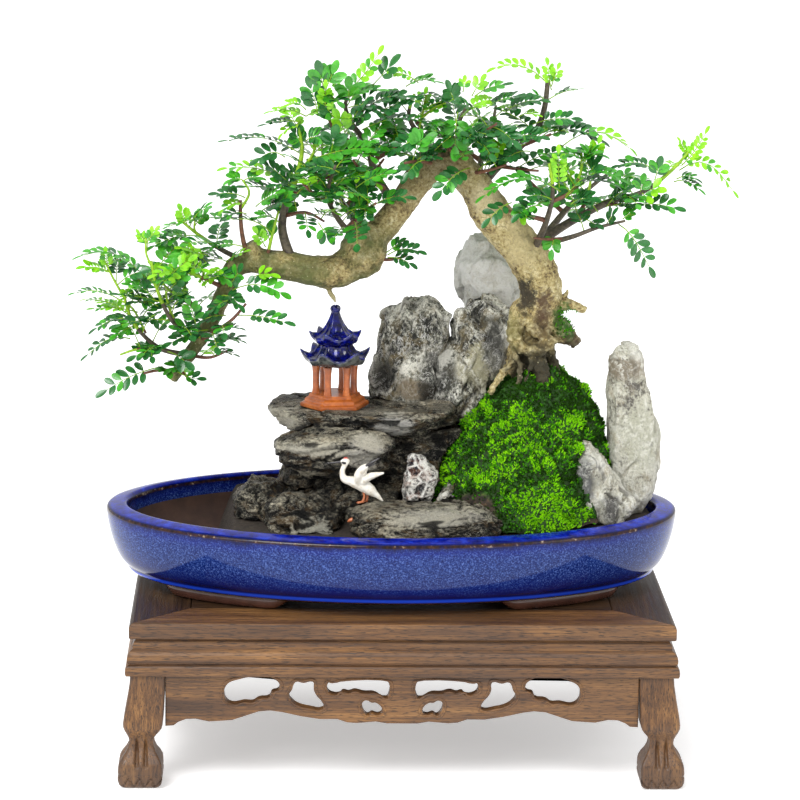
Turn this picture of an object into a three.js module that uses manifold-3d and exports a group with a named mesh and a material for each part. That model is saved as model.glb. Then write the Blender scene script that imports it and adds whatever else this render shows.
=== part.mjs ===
// A Pistacia weinmannifolia bonsai in a rock landscape: a cascading tree on a moss mound, stacked stones,
// a small glazed pavilion and a crane, all in a shallow oval tray that rests on a carved wooden stand.
// Millimetres, +Z up, +X to the viewer's right, -Y towards the viewer. The outlines below are given about
// the stand's centre on the table, and the group is moved at the end so that the bottom centre of the
// whole piece's box is the origin.
import * as THREE from "three";
import { mergeVertices } from "three/addons/utils/BufferGeometryUtils.js";
import Module from "manifold-3d";

const wasm = await Module();
wasm.setup();

// Driving dimensions
const SEAT = 0.3; // gap left where one piece is cut to sit on another
const SLACK = 0.1; // how far a face may move when slivers that a cut leaves are merged away
const TRUNK_SLACK = 0.5; // the same, where the limbs of the trunk run into each other
const STAND = {
  halfWidth: 210.5, // outside of the top frame
  halfDepth: 136.5,
  y: -16,
  top: 129.5,
  railWidth: 46,
  railThick: 12.5,
  waistTop: 117,
  waistBottom: 88,
  apronThick: 10,
  apronFace: 2.5, // how far the apron lies behind the top frame's outside
};
const POT = { halfLength: 228, halfWidth: 134, x: -6, y: -16, foot: 9 };
const SOIL_TOP = 57; // top of the soil bed above the stand
const LEAF_THICK = 0.9;
const GOLDEN_TURN = 137.5;

const COLOURS = {
  wood: 0x6b4a30,
  panel: 0x5a3d28,
  glaze: 0x1f3fa8,
  soil: 0x3a332b,
  moss: 0x3f7d16,
  bark: 0x8a7650,
  leaf: 0x2f8f36,
  darkStone: 0x4b4b48,
  greyStone: 0x8a8a84,
  paleStone: 0xb4b2a6,
  terracotta: 0xb9551f,
  roof: 0x14248c,
  crane: 0xe8e2cf,
  craneLeg: 0xc4602c,
};

const group = new THREE.Group();
const up = new THREE.Vector3(0, 0, 1);
const vec = (x, y, z) => new THREE.Vector3(x, y, z);
const rad = THREE.MathUtils.degToRad;

function randomFrom(seed) {
  let a = seed >>> 0;
  return () => {
    a = (a + 0x6d2b79f5) >>> 0;
    let t = Math.imul(a ^ (a >>> 15), 1 | a);
    t = (t + Math.imul(t ^ (t >>> 7), 61 | t)) ^ t;
    return ((t ^ (t >>> 14)) >>> 0) / 4294967296;
  };
}

// A smooth bumpy value between about -1 and 1, made of crossed sine waves.
function bumps(x, y, z, seed) {
  const a = Math.sin(x * 2.1 + seed * 1.7 + 1.9 * Math.sin(y * 1.3 + seed));
  const b = Math.sin(y * 2.7 - seed * 0.9 + 1.7 * Math.sin(z * 1.9 + seed * 2.3));
  const c = Math.sin(z * 2.3 + seed * 2.9 + 1.5 * Math.sin(x * 1.7 - seed));
  return (a + b + c) / 3;
}

// Solids in and out of manifold-3d. A skin whose faces point inwards is turned the right way out first.
function solid(geometry) {
  const bare = geometry.index ? geometry.toNonIndexed() : geometry.clone();
  bare.deleteAttribute("normal");
  bare.deleteAttribute("uv");
  const merged = mergeVertices(bare, 1e-4);
  const points = merged.attributes.position.array;
  const faces = new Uint32Array(merged.index.array);
  if (signedVolume(points, faces) < 0) faces.reverse();
  return new wasm.Manifold(new wasm.Mesh({ numProp: 3, vertProperties: points, triVerts: faces }));
}

function signedVolume(points, faces) {
  const corner = (i) => vec(points[3 * i], points[3 * i + 1], points[3 * i + 2]);
  let sum = 0;
  for (let f = 0; f < faces.length; f += 3) {
    sum += corner(faces[f]).dot(corner(faces[f + 1]).cross(corner(faces[f + 2])));
  }
  return sum / 6;
}

function geometryOf(made) {
  const mesh = made.getMesh();
  const geometry = new THREE.BufferGeometry();
  geometry.setAttribute("position", new THREE.BufferAttribute(mesh.vertProperties, 3));
  geometry.setIndex(new THREE.BufferAttribute(mesh.triVerts, 1));
  return geometry;
}

// The largest body of a solid: what a cut leaves loose beside it is dropped.
function largest(made) {
  const bodies = made.decompose();
  return bodies.reduce((best, body) => (body.volume() > best.volume() ? body : best));
}

function triangles(points, faces) {
  const geometry = new THREE.BufferGeometry();
  const places = points.flatMap((p) => [p.x, p.y, p.z]);
  geometry.setAttribute("position", new THREE.Float32BufferAttribute(places, 3));
  geometry.setIndex(faces.flat());
  return geometry;
}

// A closed skin over rings of points, all with the same count; each end is closed by a fan.
function loft(rings) {
  const count = rings[0].length;
  const points = rings.flat();
  const faces = [];
  for (let r = 0; r + 1 < rings.length; r++)
    for (let i = 0; i < count; i++) {
      const a = r * count + i;
      const b = r * count + ((i + 1) % count);
      faces.push([a, b, b + count], [a, b + count, a + count]);
    }
  const middle = (ring) => ring.reduce((sum, p) => sum.add(p), vec(0, 0, 0)).divideScalar(count);
  const first = points.push(middle(rings[0])) - 1;
  const last = points.push(middle(rings.at(-1))) - 1;
  const lastRing = (rings.length - 1) * count;
  for (let i = 0; i < count; i++) {
    const j = (i + 1) % count;
    faces.push([first, j, i], [last, lastRing + i, lastRing + j]);
  }
  return triangles(points, faces);
}

// A round stem along a smooth line through the points, its radius following the list, with seeded knots.
function stem(points, radii, { sides = 6, steps = 6, rough = 0, seed = 1 } = {}) {
  const line = new THREE.CatmullRomCurve3(points.map((p) => vec(...p)), false, "centripetal");
  const frames = line.computeFrenetFrames(steps, false);
  const rings = [];
  for (let s = 0; s <= steps; s++) {
    const t = s / steps;
    const centre = line.getPointAt(t);
    const place = t * (radii.length - 1);
    const low = Math.min(Math.floor(place), radii.length - 2);
    const radius = THREE.MathUtils.lerp(radii[low], radii[low + 1], place - low);
    const ring = [];
    for (let i = 0; i < sides; i++) {
      const angle = (2 * Math.PI * i) / sides;
      const knot = 1 + rough * bumps(centre.x * 0.05 + i, centre.z * 0.07, angle * 2, seed);
      ring.push(
        centre
          .clone()
          .addScaledVector(frames.normals[s], Math.cos(angle) * radius * knot)
          .addScaledVector(frames.binormals[s], Math.sin(angle) * radius * knot),
      );
    }
    rings.push(ring);
  }
  return loft(rings);
}

function add(name, made, colour, roughness = 0.7) {
  const geometry = geometryOf((made.isBufferGeometry ? solid(made) : made).simplify(SLACK));
  const material = new THREE.MeshStandardMaterial({ color: colour, roughness, metalness: 0 });
  const mesh = new THREE.Mesh(geometry, material);
  mesh.name = name;
  group.add(mesh);
  return mesh;
}

// Stand
// A mitred rail: its section, given as [inward offset, height], runs along one side of the frame.
function mitredRail(section, halfLength, halfAcross, side) {
  const ends = [-1, 1].map((end) =>
    section.map(([inward, z]) => {
      const along = end * (halfLength - inward);
      const across = halfAcross - inward;
      if (side === "front") return vec(along, STAND.y - across, z);
      if (side === "back") return vec(-along, STAND.y + across, z);
      if (side === "right") return vec(across, STAND.y + along, z);
      return vec(-across, STAND.y - along, z);
    }),
  );
  return solid(loft(ends));
}

function addFrame(prefix, section) {
  for (const side of ["front", "back", "left", "right"]) {
    const long = side === "front" || side === "back";
    const halfLength = long ? STAND.halfWidth : STAND.halfDepth;
    const halfAcross = long ? STAND.halfDepth : STAND.halfWidth;
    add(`${prefix}_${side}`, mitredRail(section, halfLength, halfAcross, side), COLOURS.wood);
  }
}

function addStandTop() {
  const { top, railThick, railWidth, waistTop, waistBottom } = STAND;
  addFrame("stand_rail", [
    [0, top - railThick + 2],
    [0, top - 3.4],
    [2.4, top],
    [railWidth, top],
    [railWidth, top - railThick],
    [1.4, top - railThick],
  ]);
  addFrame("stand_waist", [
    [-2.2, waistBottom],
    [-2.8, waistBottom + 8],
    [-0.6, waistBottom + 9.4],
    [-1.6, waistBottom + 16],
    [2.4, waistBottom + 19],
    [5.2, waistTop],
    [20, waistTop],
    [20, waistBottom],
  ]);
  const panel = new THREE.BoxGeometry(
    2 * (STAND.halfWidth - railWidth - 0.6),
    2 * (STAND.halfDepth - railWidth - 0.6),
    railThick,
  );
  panel.translate(0, STAND.y, top - railThick / 2);
  add("stand_top_panel", panel, COLOURS.panel);
}

// Half of the long apron's lower edge, from the leg to the middle, and its pierced scrolls.
const APRON_EDGE = [
  [183, 47.5],
  [174, 48],
  [167, 53],
  [149, 50.7],
  [131, 52],
  [104, 60],
  [78, 55],
  [50, 53],
  [36, 50],
];
const SCROLLS = {
  outer: [[130, 83.5], [97, 84], [94.5, 79], [104, 69], [131, 65], [137, 74]],
  middle: [[82, 82.6], [69, 82.6], [61, 62.5], [78, 63], [87, 72]],
  inner: [[57, 82.5], [12, 83.2], [11, 71], [24, 74], [56, 74]],
  eye: [[29, 67.5], [21, 66.4], [16, 58], [28, 57.4]],
};

function apronSolid(halfLength, edge, scrolls) {
  const outline = new THREE.Shape();
  const lower = [...edge, ...edge.map(([x, z]) => [-x, z]).reverse()];
  outline.moveTo(-halfLength, STAND.waistBottom);
  for (const [x, z] of lower.slice().reverse()) outline.lineTo(x, z);
  outline.lineTo(halfLength, STAND.waistBottom);
  for (const scroll of scrolls)
    for (const side of [-1, 1]) {
      const hole = new THREE.Path();
      hole.setFromPoints(scroll.map(([x, z]) => new THREE.Vector2(side * x, z)));
      hole.closePath();
      outline.holes.push(hole);
    }
  const straight = { depth: STAND.apronThick, bevelEnabled: false, curveSegments: 1 };
  const board = new THREE.ExtrudeGeometry(outline, straight);
  return board.rotateX(Math.PI / 2).translate(0, STAND.apronThick, 0);
}

// The long aprons stand between the legs at the front and back. The short ones, at the two sides, have a
// shorter edge and only the outer two scrolls, moved towards the middle.
function addAprons() {
  const longEnd = APRON_EDGE[0][0];
  const shortEnd = longEnd - STAND.halfWidth + STAND.halfDepth;
  const edgeTo = (end) => APRON_EDGE.map(([x, z]) => [Math.min((x * end) / longEnd, end - SEAT), z]);
  const inward = ([x, z]) => [x - 50, z];
  const shortScrolls = [SCROLLS.outer.map(inward), SCROLLS.middle.map(inward)];
  const long = () => apronSolid(longEnd - SEAT, edgeTo(longEnd), Object.values(SCROLLS));
  const short = () => apronSolid(shortEnd - SEAT, edgeTo(shortEnd), shortScrolls);
  const longFace = STAND.halfDepth - STAND.apronFace;
  const shortFace = STAND.halfWidth - STAND.apronFace;
  add("stand_apron_front", long().translate(0, STAND.y - longFace, 0), COLOURS.wood);
  add("stand_apron_back", long().rotateZ(Math.PI).translate(0, STAND.y + longFace, 0), COLOURS.wood);
  add("stand_apron_right", short().rotateZ(Math.PI / 2).translate(shortFace, STAND.y, 0), COLOURS.wood);
  add("stand_apron_left", short().rotateZ(-Math.PI / 2).translate(-shortFace, STAND.y, 0), COLOURS.wood);
}

// A leg's square section by height: [height, outer offset beyond the top frame, inner offset inside it].
const LEG = [
  [0, 6, 21.5],
  [3, 8.6, 25],
  [10, 8.8, 26],
  [21, 6.6, 24.2],
  [30, 1.6, 20],
  [36, -0.4, 18.6],
  [49, 4.4, 25.6],
  [68, 1.6, 27],
  [88, -0.8, 27.5],
];
const TOE_GROOVE = { width: 3, depth: 7, length: 24, height: 22, along: [-13.5, -3] };

// A leg for the corner where both X and Y are positive, with two toe grooves on each outside face.
function legSolid() {
  const cornerCut = 0.2; // share of the section's side
  const rings = LEG.map(([z, outer, inner]) => {
    const cut = (outer + inner) * cornerCut;
    const face = outer - cut;
    const section = [[outer, -inner], [outer, face], [face, outer], [-inner, outer], [-inner, -inner]];
    return section.map(([x, y]) => vec(x, y, z));
  });
  let leg = solid(loft(rings));
  const { width, depth, length, height } = TOE_GROOVE;
  for (const along of TOE_GROOVE.along) {
    const groove = new THREE.OctahedronGeometry(1);
    const front = groove.clone().scale(width / 2, depth / 2, length / 2).translate(along, 8, height);
    const side = groove.clone().scale(depth / 2, width / 2, length / 2).translate(8, along, height);
    leg = leg.subtract(solid(front)).subtract(solid(side));
  }
  return geometryOf(largest(leg));
}

function addLegs() {
  const corners = { front_left: [-1, -1], front_right: [1, -1], back_left: [-1, 1], back_right: [1, 1] };
  for (const [name, [sx, sy]] of Object.entries(corners)) {
    const leg = legSolid().scale(sx, sy, 1);
    leg.translate(sx * STAND.halfWidth, STAND.y + sy * STAND.halfDepth, 0);
    add(`stand_leg_${name}`, leg, COLOURS.wood);
  }
}

// Pot
// The tray's section from the middle of its underside, round the rim, to its inside floor:
// [inward offset from the rim's outside, height above the stand].
const POT_OUTSIDE = [[22, 9], [17.6, 11.5], [16.4, 15], [10.4, 21.5], [4.6, 36], [0.6, 54]];
const POT_RIM = [[0, 60.6], [1.6, 62], [14.6, 64.4]];
const POT_INSIDE = [[17, 62], [19, 46], [26, 33], [42, 21.5]];
const POT_SEGMENTS = 32;

function ovalRing(inward, z, segments = POT_SEGMENTS) {
  return Array.from({ length: segments }, (_, i) => {
    const angle = (2 * Math.PI * i) / segments;
    return vec(
      POT.x + (POT.halfLength - inward) * Math.cos(angle),
      POT.y + (POT.halfWidth - inward) * Math.sin(angle),
      STAND.top + z,
    );
  });
}

// One foot: a bar under the base that follows the oval between two angles and tapers at its ends.
function potFoot(fromDegrees, toDegrees) {
  const soles = [0.8, 0.25, 0, 0, 0.25, 0.8]; // height of the sole along the foot, as a share of the foot
  const sunk = POT.foot + 3;
  const rings = soles.map((share, s) => {
    const angle = rad(THREE.MathUtils.lerp(fromDegrees, toDegrees, s / (soles.length - 1)));
    const section = [[25, sunk], [46, sunk], [42, share * POT.foot], [26, share * POT.foot]];
    return section.map(([inward, z]) =>
      vec(
        POT.x + (POT.halfLength - inward) * Math.cos(angle),
        POT.y + (POT.halfWidth - inward) * Math.sin(angle),
        STAND.top + z,
      ),
    );
  });
  return solid(loft(rings));
}

// The tray without its feet; "grow" swells it, for cutting what lies against its wall.
function trayShell(grow = 0) {
  const outside = POT_OUTSIDE.map(([inward, z]) => ovalRing(inward - grow, z));
  const rim = POT_RIM.map(([inward, z]) => ovalRing(inward, z + grow));
  const inside = POT_INSIDE.map(([inward, z]) => ovalRing(inward + grow, z));
  return solid(loft([...outside, ...rim, ...inside]));
}

function addPot() {
  const spans = [[206, 247], [293, 334], [26, 67], [113, 154]];
  const pot = spans.reduce((made, [from, to]) => made.add(potFoot(from, to)), trayShell());
  add("pot", pot, COLOURS.glaze, 0.15);
}

// Stones
// A rough block over a list of levels, each [height, left, right, front, back]. Every level is a boxy
// oval whose corners are moved in by seeded amounts, so that the faces between the levels come out flat
// and angular; "grow" swells it evenly, for cutting what sits against it.
function blockGeometry({ levels, seed, around = 9, rough = 0.15, bow = 0.7, flat = false }, grow = 0) {
  const random = randomFrom(seed);
  const start = random() * Math.PI;
  const twist = (random() - 0.5) * 0.3;
  const last = levels.length - 1;
  const rings = levels.map(([z, left, right, front, back], level) =>
    Array.from({ length: around }, (_, i) => {
      const angle = start + twist * level + (2 * Math.PI * i) / around;
      const inset = 1 - rough * random();
      const lift = level === 0 || (flat && level === last) ? 0 : (random() - 0.5) * 6;
      const boxy = (value) => inset * Math.sign(value) * Math.abs(value) ** bow;
      const [c, s] = [Math.cos(angle), Math.sin(angle)];
      return vec(
        (left + right + (right - left) * boxy(c)) / 2 + grow * c,
        (front + back + (back - front) * boxy(s)) / 2 + grow * s,
        z + lift + (level === 0 ? -grow : level === last ? grow : 0),
      );
    }),
  );
  return loft(rings);
}

const SOIL_LEVEL = STAND.top + SOIL_TOP; // 186.5, where every stone of the lowest row stands
// Stones from the bottom of the pile up: each is cut to seat on those named before it.
const STONES = {
  stone_lying_left: {
    seed: 11,
    levels: [[187, -136, -82, -60, 8], [200, -134, -82, -56, 6], [213, -122, -98, -40, -10]],
  },
  stone_front_low: {
    seed: 23,
    levels: [[187, -110, -42, -100, -38], [201, -110, -44, -92, -40], [212, -94, -66, -78, -54]],
  },
  stone_front_slab: {
    seed: 31,
    flat: true,
    around: 11,
    levels: [[187, -44, 84, -120, -58], [198, -46, 82, -116, -56], [207.5, -34, 60, -104, -60]],
  },
  stone_back_low: {
    seed: 47,
    levels: [[187, -86, 4, -54, 14], [202, -84, 6, -54, 14], [218, -60, -24, -36, 0]],
  },
  stone_wall: {
    seed: 61,
    around: 13,
    levels: [
      [187, -110, 66, -34, 50], [208, -108, 68, -34, 50], [232, -102, 66, -36, 48],
      [252, -88, 58, -28, 44],
    ],
  },
  stone_veined: {
    seed: 71,
    around: 7,
    levels: [
      [187, 0, 24, -70, -44], [203, 1, 25, -70, -42], [228, 0, 30, -67, -46], [241, 5, 18, -60, -50],
    ],
  },
  stone_grey_small: {
    seed: 83,
    around: 8,
    levels: [[187, 24, 82, -76, -32], [203, 26, 76, -70, -34], [217, 34, 48, -56, -44]],
  },
  stone_middle: {
    seed: 97,
    around: 10,
    levels: [
      [220, -72, -38, -50, -14], [231, -104, -4, -66, -8], [247, -102, -2, -67, -8],
      [267, -62, -34, -46, -20],
    ],
  },
  stone_ledge: {
    seed: 101,
    flat: true,
    around: 11,
    levels: [
      [250, -40, 28, -34, 34], [258, -100, 44, -50, 44], [267, -115, 52, -54, 46],
      [271, -110, 46, -50, 42],
    ],
  },
  stone_upright_left: {
    seed: 113,
    levels: [
      [262, -24, 16, 6, 46], [286, -28, 30, 3, 50], [320, -25, 42, 2, 52], [338, -18, 43, 4, 50],
      [353, 5, 25, 16, 38],
    ],
  },
  stone_upright_right: {
    seed: 127,
    levels: [
      [244, 38, 74, 2, 42], [270, 33, 78, 0, 46], [300, 33, 92, -2, 50], [326, 42, 99, -2, 50],
      [341, 44, 96, 4, 46], [352, 54, 76, 14, 36],
    ],
  },
  stone_peak: {
    seed: 131,
    levels: [
      [187, 44, 104, 38, 84], [270, 48, 102, 38, 86], [332, 52, 98, 39, 84], [356, 44, 105, 37, 86],
      [378, 43, 103, 39, 84], [398, 58, 78, 52, 70],
    ],
  },
  stone_pillar: {
    seed: 149,
    levels: [
      [187, 164, 196, -30, 12], [200, 161, 208, -32, 12], [246, 161, 210, -32, 12],
      [279, 161, 202, -28, 8], [303, 164, 194, -24, 4], [318, 173, 185, -18, -2],
    ],
  },
  stone_small_right: {
    seed: 151,
    around: 8,
    levels: [
      [187, 148, 178, -66, -30], [202, 143, 187, -66, -28], [226, 136, 169, -60, -30],
      [250, 142, 152, -50, -40],
    ],
  },
};
const PALE = ["stone_peak", "stone_pillar", "stone_small_right"];
const GREY = ["stone_upright_left", "stone_upright_right", "stone_veined", "stone_middle"];

function stoneColour(name) {
  if (PALE.includes(name)) return COLOURS.paleStone;
  return GREY.includes(name) ? COLOURS.greyStone : COLOURS.darkStone;
}

// What later pieces are cut by, each grown by the gap that is left at a seat.
const GROUND = { pot: trayShell(SEAT) };

function addGround(name, made, swollen, colour, roughness) {
  add(name, cutAway(made, Object.values(GROUND)), colour, roughness);
  GROUND[name] = swollen;
}

function addStone(name) {
  const [made, swollen] = [0, SEAT].map((grow) => solid(blockGeometry(STONES[name], grow)));
  addGround(name, made, swollen, stoneColour(name), 0.85);
}

// What is left of a solid once the cutters near it are taken out of it.
function cutAway(made, cutters) {
  const near = cutters.filter((cutter) => boxesMeet(made.boundingBox(), cutter.boundingBox()));
  return largest(near.reduce((left, cutter) => left.subtract(cutter), made));
}

function boxesMeet(a, b, gap = 1) {
  return [0, 1, 2].every((i) => a.min[i] - gap < b.max[i] && b.min[i] - gap < a.max[i]);
}

// Soil: fills the tray's inside up to its level on the right, and stops in a slope at the bare left.
const SOIL_SLOPE = { toe: -158, crest: -118, height: 90, reach: 400 };
function soilSolid(grow = 0) {
  const inside = [[42.6, 21.9], [26.5, 33.4], [19.4, 46.2], [18.1, SOIL_TOP]].map(([inward, z]) =>
    ovalRing(inward - grow, z + (z === SOIL_TOP ? grow : 0)),
  );
  const filled = solid(loft(inside));
  const { toe, crest, height, reach } = SOIL_SLOPE;
  const [low, high] = [STAND.top, STAND.top + height];
  const slope = [[toe, low], [crest, high], [reach, high], [reach, low]];
  const side = new THREE.Shape(slope.map(([x, z]) => new THREE.Vector2(x - grow, z)));
  const wedge = new THREE.ExtrudeGeometry(side, { depth: reach, bevelEnabled: false, steps: 1 });
  wedge.rotateX(Math.PI / 2).translate(0, reach / 2, 0);
  return filled.intersect(solid(wedge));
}

// Moss mound: a rounded hill round the foot of the tree, with a plain hole that the trunk stands in.
const MOUND = {
  seed: 163,
  around: 18,
  rough: 0.08,
  bow: 0.92,
  levels: [
    [187, 24, 170, -106, 64], [208, 26, 172, -96, 62], [236, 36, 172, -76, 56],
    [262, 54, 165, -50, 48], [284, 72, 150, -26, 40], [301, 88, 126, -6, 28],
  ],
};
const ROOT_HOLE = { radius: 23, x: 103, y: 10, bottom: 260, height: 60 };
function mossSolid() {
  const { radius, x, y, bottom, height } = ROOT_HOLE;
  const hole = new THREE.CylinderGeometry(radius, radius, height, 10).rotateX(Math.PI / 2);
  return solid(blockGeometry(MOUND)).subtract(solid(hole.translate(x, y, bottom + height / 2)));
}

// Tree
// The trunk climbs from the mound, turns left at the apex, falls to the knee and runs out to the tail.
const TRUNK = {
  rise: {
    points: [
      [104, 10, 262], [102, 9, 297], [103, 6, 320], [109, 4, 343], [111, 2, 366], [102, 0, 389],
      [86, 0, 408], [69, 0, 427], [58, 2, 446], [44, 4, 462],
    ],
    radii: [19, 18.5, 16.5, 16.5, 16.5, 16.5, 16.5, 15, 13.5, 12],
  },
  fall: {
    points: [
      [54, 2, 452], [38, 4, 466], [25, 4, 466], [13, 2, 452], [1, 0, 434], [-12, -4, 418],
      [-26, -7, 402],
    ],
    radii: [12, 13.5, 12.5, 11, 11, 11, 12],
  },
  run: {
    points: [[-30, -8, 395], [-50, -11, 380], [-70, -12, 380], [-92, -13, 384], [-122, -14, 389]],
    radii: [15, 13.5, 12, 11, 9.5],
  },
  tail: {
    points: [
      [-114, -14, 388], [-130, -15, 384], [-138, -15, 368], [-149, -15, 344], [-161, -15, 322],
      [-172, -15, 306], [-182, -15, 292],
    ],
    radii: [9, 8.4, 7, 6.2, 5.6, 5, 4],
  },
  rootCurl: {
    points: [[96, 0, 352], [90, -10, 338], [92, -16, 324], [104, -20, 318], [118, -19, 326]],
    radii: [7, 6.6, 6, 5.5, 5],
  },
  spur: { points: [[116, 4, 346], [132, 2, 352], [147, 0, 349]], radii: [7, 6, 4.6] },
  barkSlab: { points: [[110, 6, 338], [126, 5, 330], [142, 3, 320]], radii: [12, 11, 4] },
  rootLeft: {
    points: [[98, -6, 320], [88, -12, 308], [78, -14, 294], [70, -14, 282]],
    radii: [4, 3.4, 3, 2.4],
  },
  rootFront: { points: [[108, -6, 318], [116, -16, 302], [126, -22, 286]], radii: [9, 8, 6] },
  stub: { points: [[-59, -12, 374], [-57, -12, 362], [-52.5, -12, 355]], radii: [2.2, 1.8, 1.2] },
};
const KNEE = {
  seed: 7,
  around: 8,
  rough: 0.1,
  levels: [
    [376, -40, -22, -18, 0], [384, -50, -14, -24, 6], [396, -50, -12, -25, 8], [408, -42, -10, -22, 7],
    [418, -34, -14, -16, 4],
  ],
};

const TRUNK_SHAPE = {
  rise: { sides: 8, steps: 9, rough: 0.07 },
  fall: { sides: 8, steps: 6, rough: 0.08 },
  run: { sides: 7, steps: 6, rough: 0.06 },
  tail: { sides: 6, steps: 7, rough: 0.07 },
};

function limbSolid(name, grow) {
  const { points, radii } = TRUNK[name];
  const shape = TRUNK_SHAPE[name] ?? { sides: 5, steps: 2, rough: 0.1 };
  const seed = Object.keys(TRUNK).indexOf(name) + 5;
  return solid(stem(points, radii.map((r) => r + grow), { ...shape, seed }));
}

// The roots are cut to lie on the moss, and only the foot of the trunk goes down into its hole.
function trunkSolid(grow = 0) {
  const limbs = Object.keys(TRUNK).map((name) => limbSolid(name, grow));
  const whole = limbs.reduce((all, limb) => all.add(limb), solid(blockGeometry(KNEE, grow)));
  const smoothed = whole.simplify(TRUNK_SLACK);
  return smoothed.subtract(solid(blockGeometry(MOUND, 2 * SEAT))).add(limbSolid("rise", grow));
}

// Fronds: each is a pinnate leaf in one thin arched blade, its leaflets cut to the rib.
// Made with its stalk along +X and its face up, from the stalk's root at the origin.
function frondGeometry({ length, pairs, droop, leaflet }) {
  const rib = 0.8;
  const stalkEnd = 0.22 * length;
  const pitch = (0.56 * length) / pairs;
  const half = LEAF_THICK / 2;
  const top = [];
  const face = [];
  const put = (x, y) => {
    const lift = Math.abs(y) * 0.16 - (droop * x * x) / length;
    return top.push([x, y, lift]) - 1;
  };
  let was = [put(0, rib), put(0, -rib)];
  const step = (x, width) => {
    const next = [put(x, width), put(x, -width)];
    face.push([was[0], was[1], next[1]], [was[0], next[1], next[0]]);
    const from = was;
    was = next;
    return from;
  };
  step(stalkEnd, rib);
  for (let k = 1; k <= pairs; k++) {
    const x = stalkEnd + (k - 1) * pitch;
    const from = step(x + pitch, k === pairs ? 0.24 * leaflet : rib);
    for (const [i, side] of [[0, 1], [1, -1]]) {
      const belly = put(x + 0.16 * pitch, side * (rib + 0.62 * leaflet));
      const tip = put(x + 0.78 * pitch, side * (rib + leaflet));
      const fan = [[from[i], was[i], belly], [was[i], tip, belly]];
      face.push(...(side > 0 ? fan : fan.map(([p, q, r]) => [p, r, q])));
    }
  }
  face.push([was[0], was[1], put(stalkEnd + pairs * pitch + leaflet, 0)]);

  const count = top.length;
  const points = [
    ...top.map(([px, py, pz]) => vec(px, py, pz + half)),
    ...top.map(([px, py, pz]) => vec(px, py, pz - half)),
  ];
  const faces = [];
  const edges = new Map();
  for (const [a, b, c] of face) {
    faces.push([a, b, c], [a + count, c + count, b + count]);
    for (const [from, to] of [[a, b], [b, c], [c, a]]) edges.set(`${from},${to}`, [from, to]);
  }
  for (const [from, to] of edges.values())
    if (!edges.has(`${to},${from}`)) faces.push([from, from + count, to], [to, from + count, to + count]);
  return triangles(points, faces);
}

// Places a frond with its stalk's root at a point, its length along "ahead" and its face to the sky.
function placed(geometry, at, ahead, sky) {
  const x = ahead.clone().normalize();
  const y = sky.clone().cross(x);
  if (y.lengthSq() < 1e-4) y.set(0, 1, 0);
  y.normalize();
  const z = x.clone().cross(y);
  return geometry.applyMatrix4(new THREE.Matrix4().makeBasis(x, y, z).setPosition(at));
}

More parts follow.
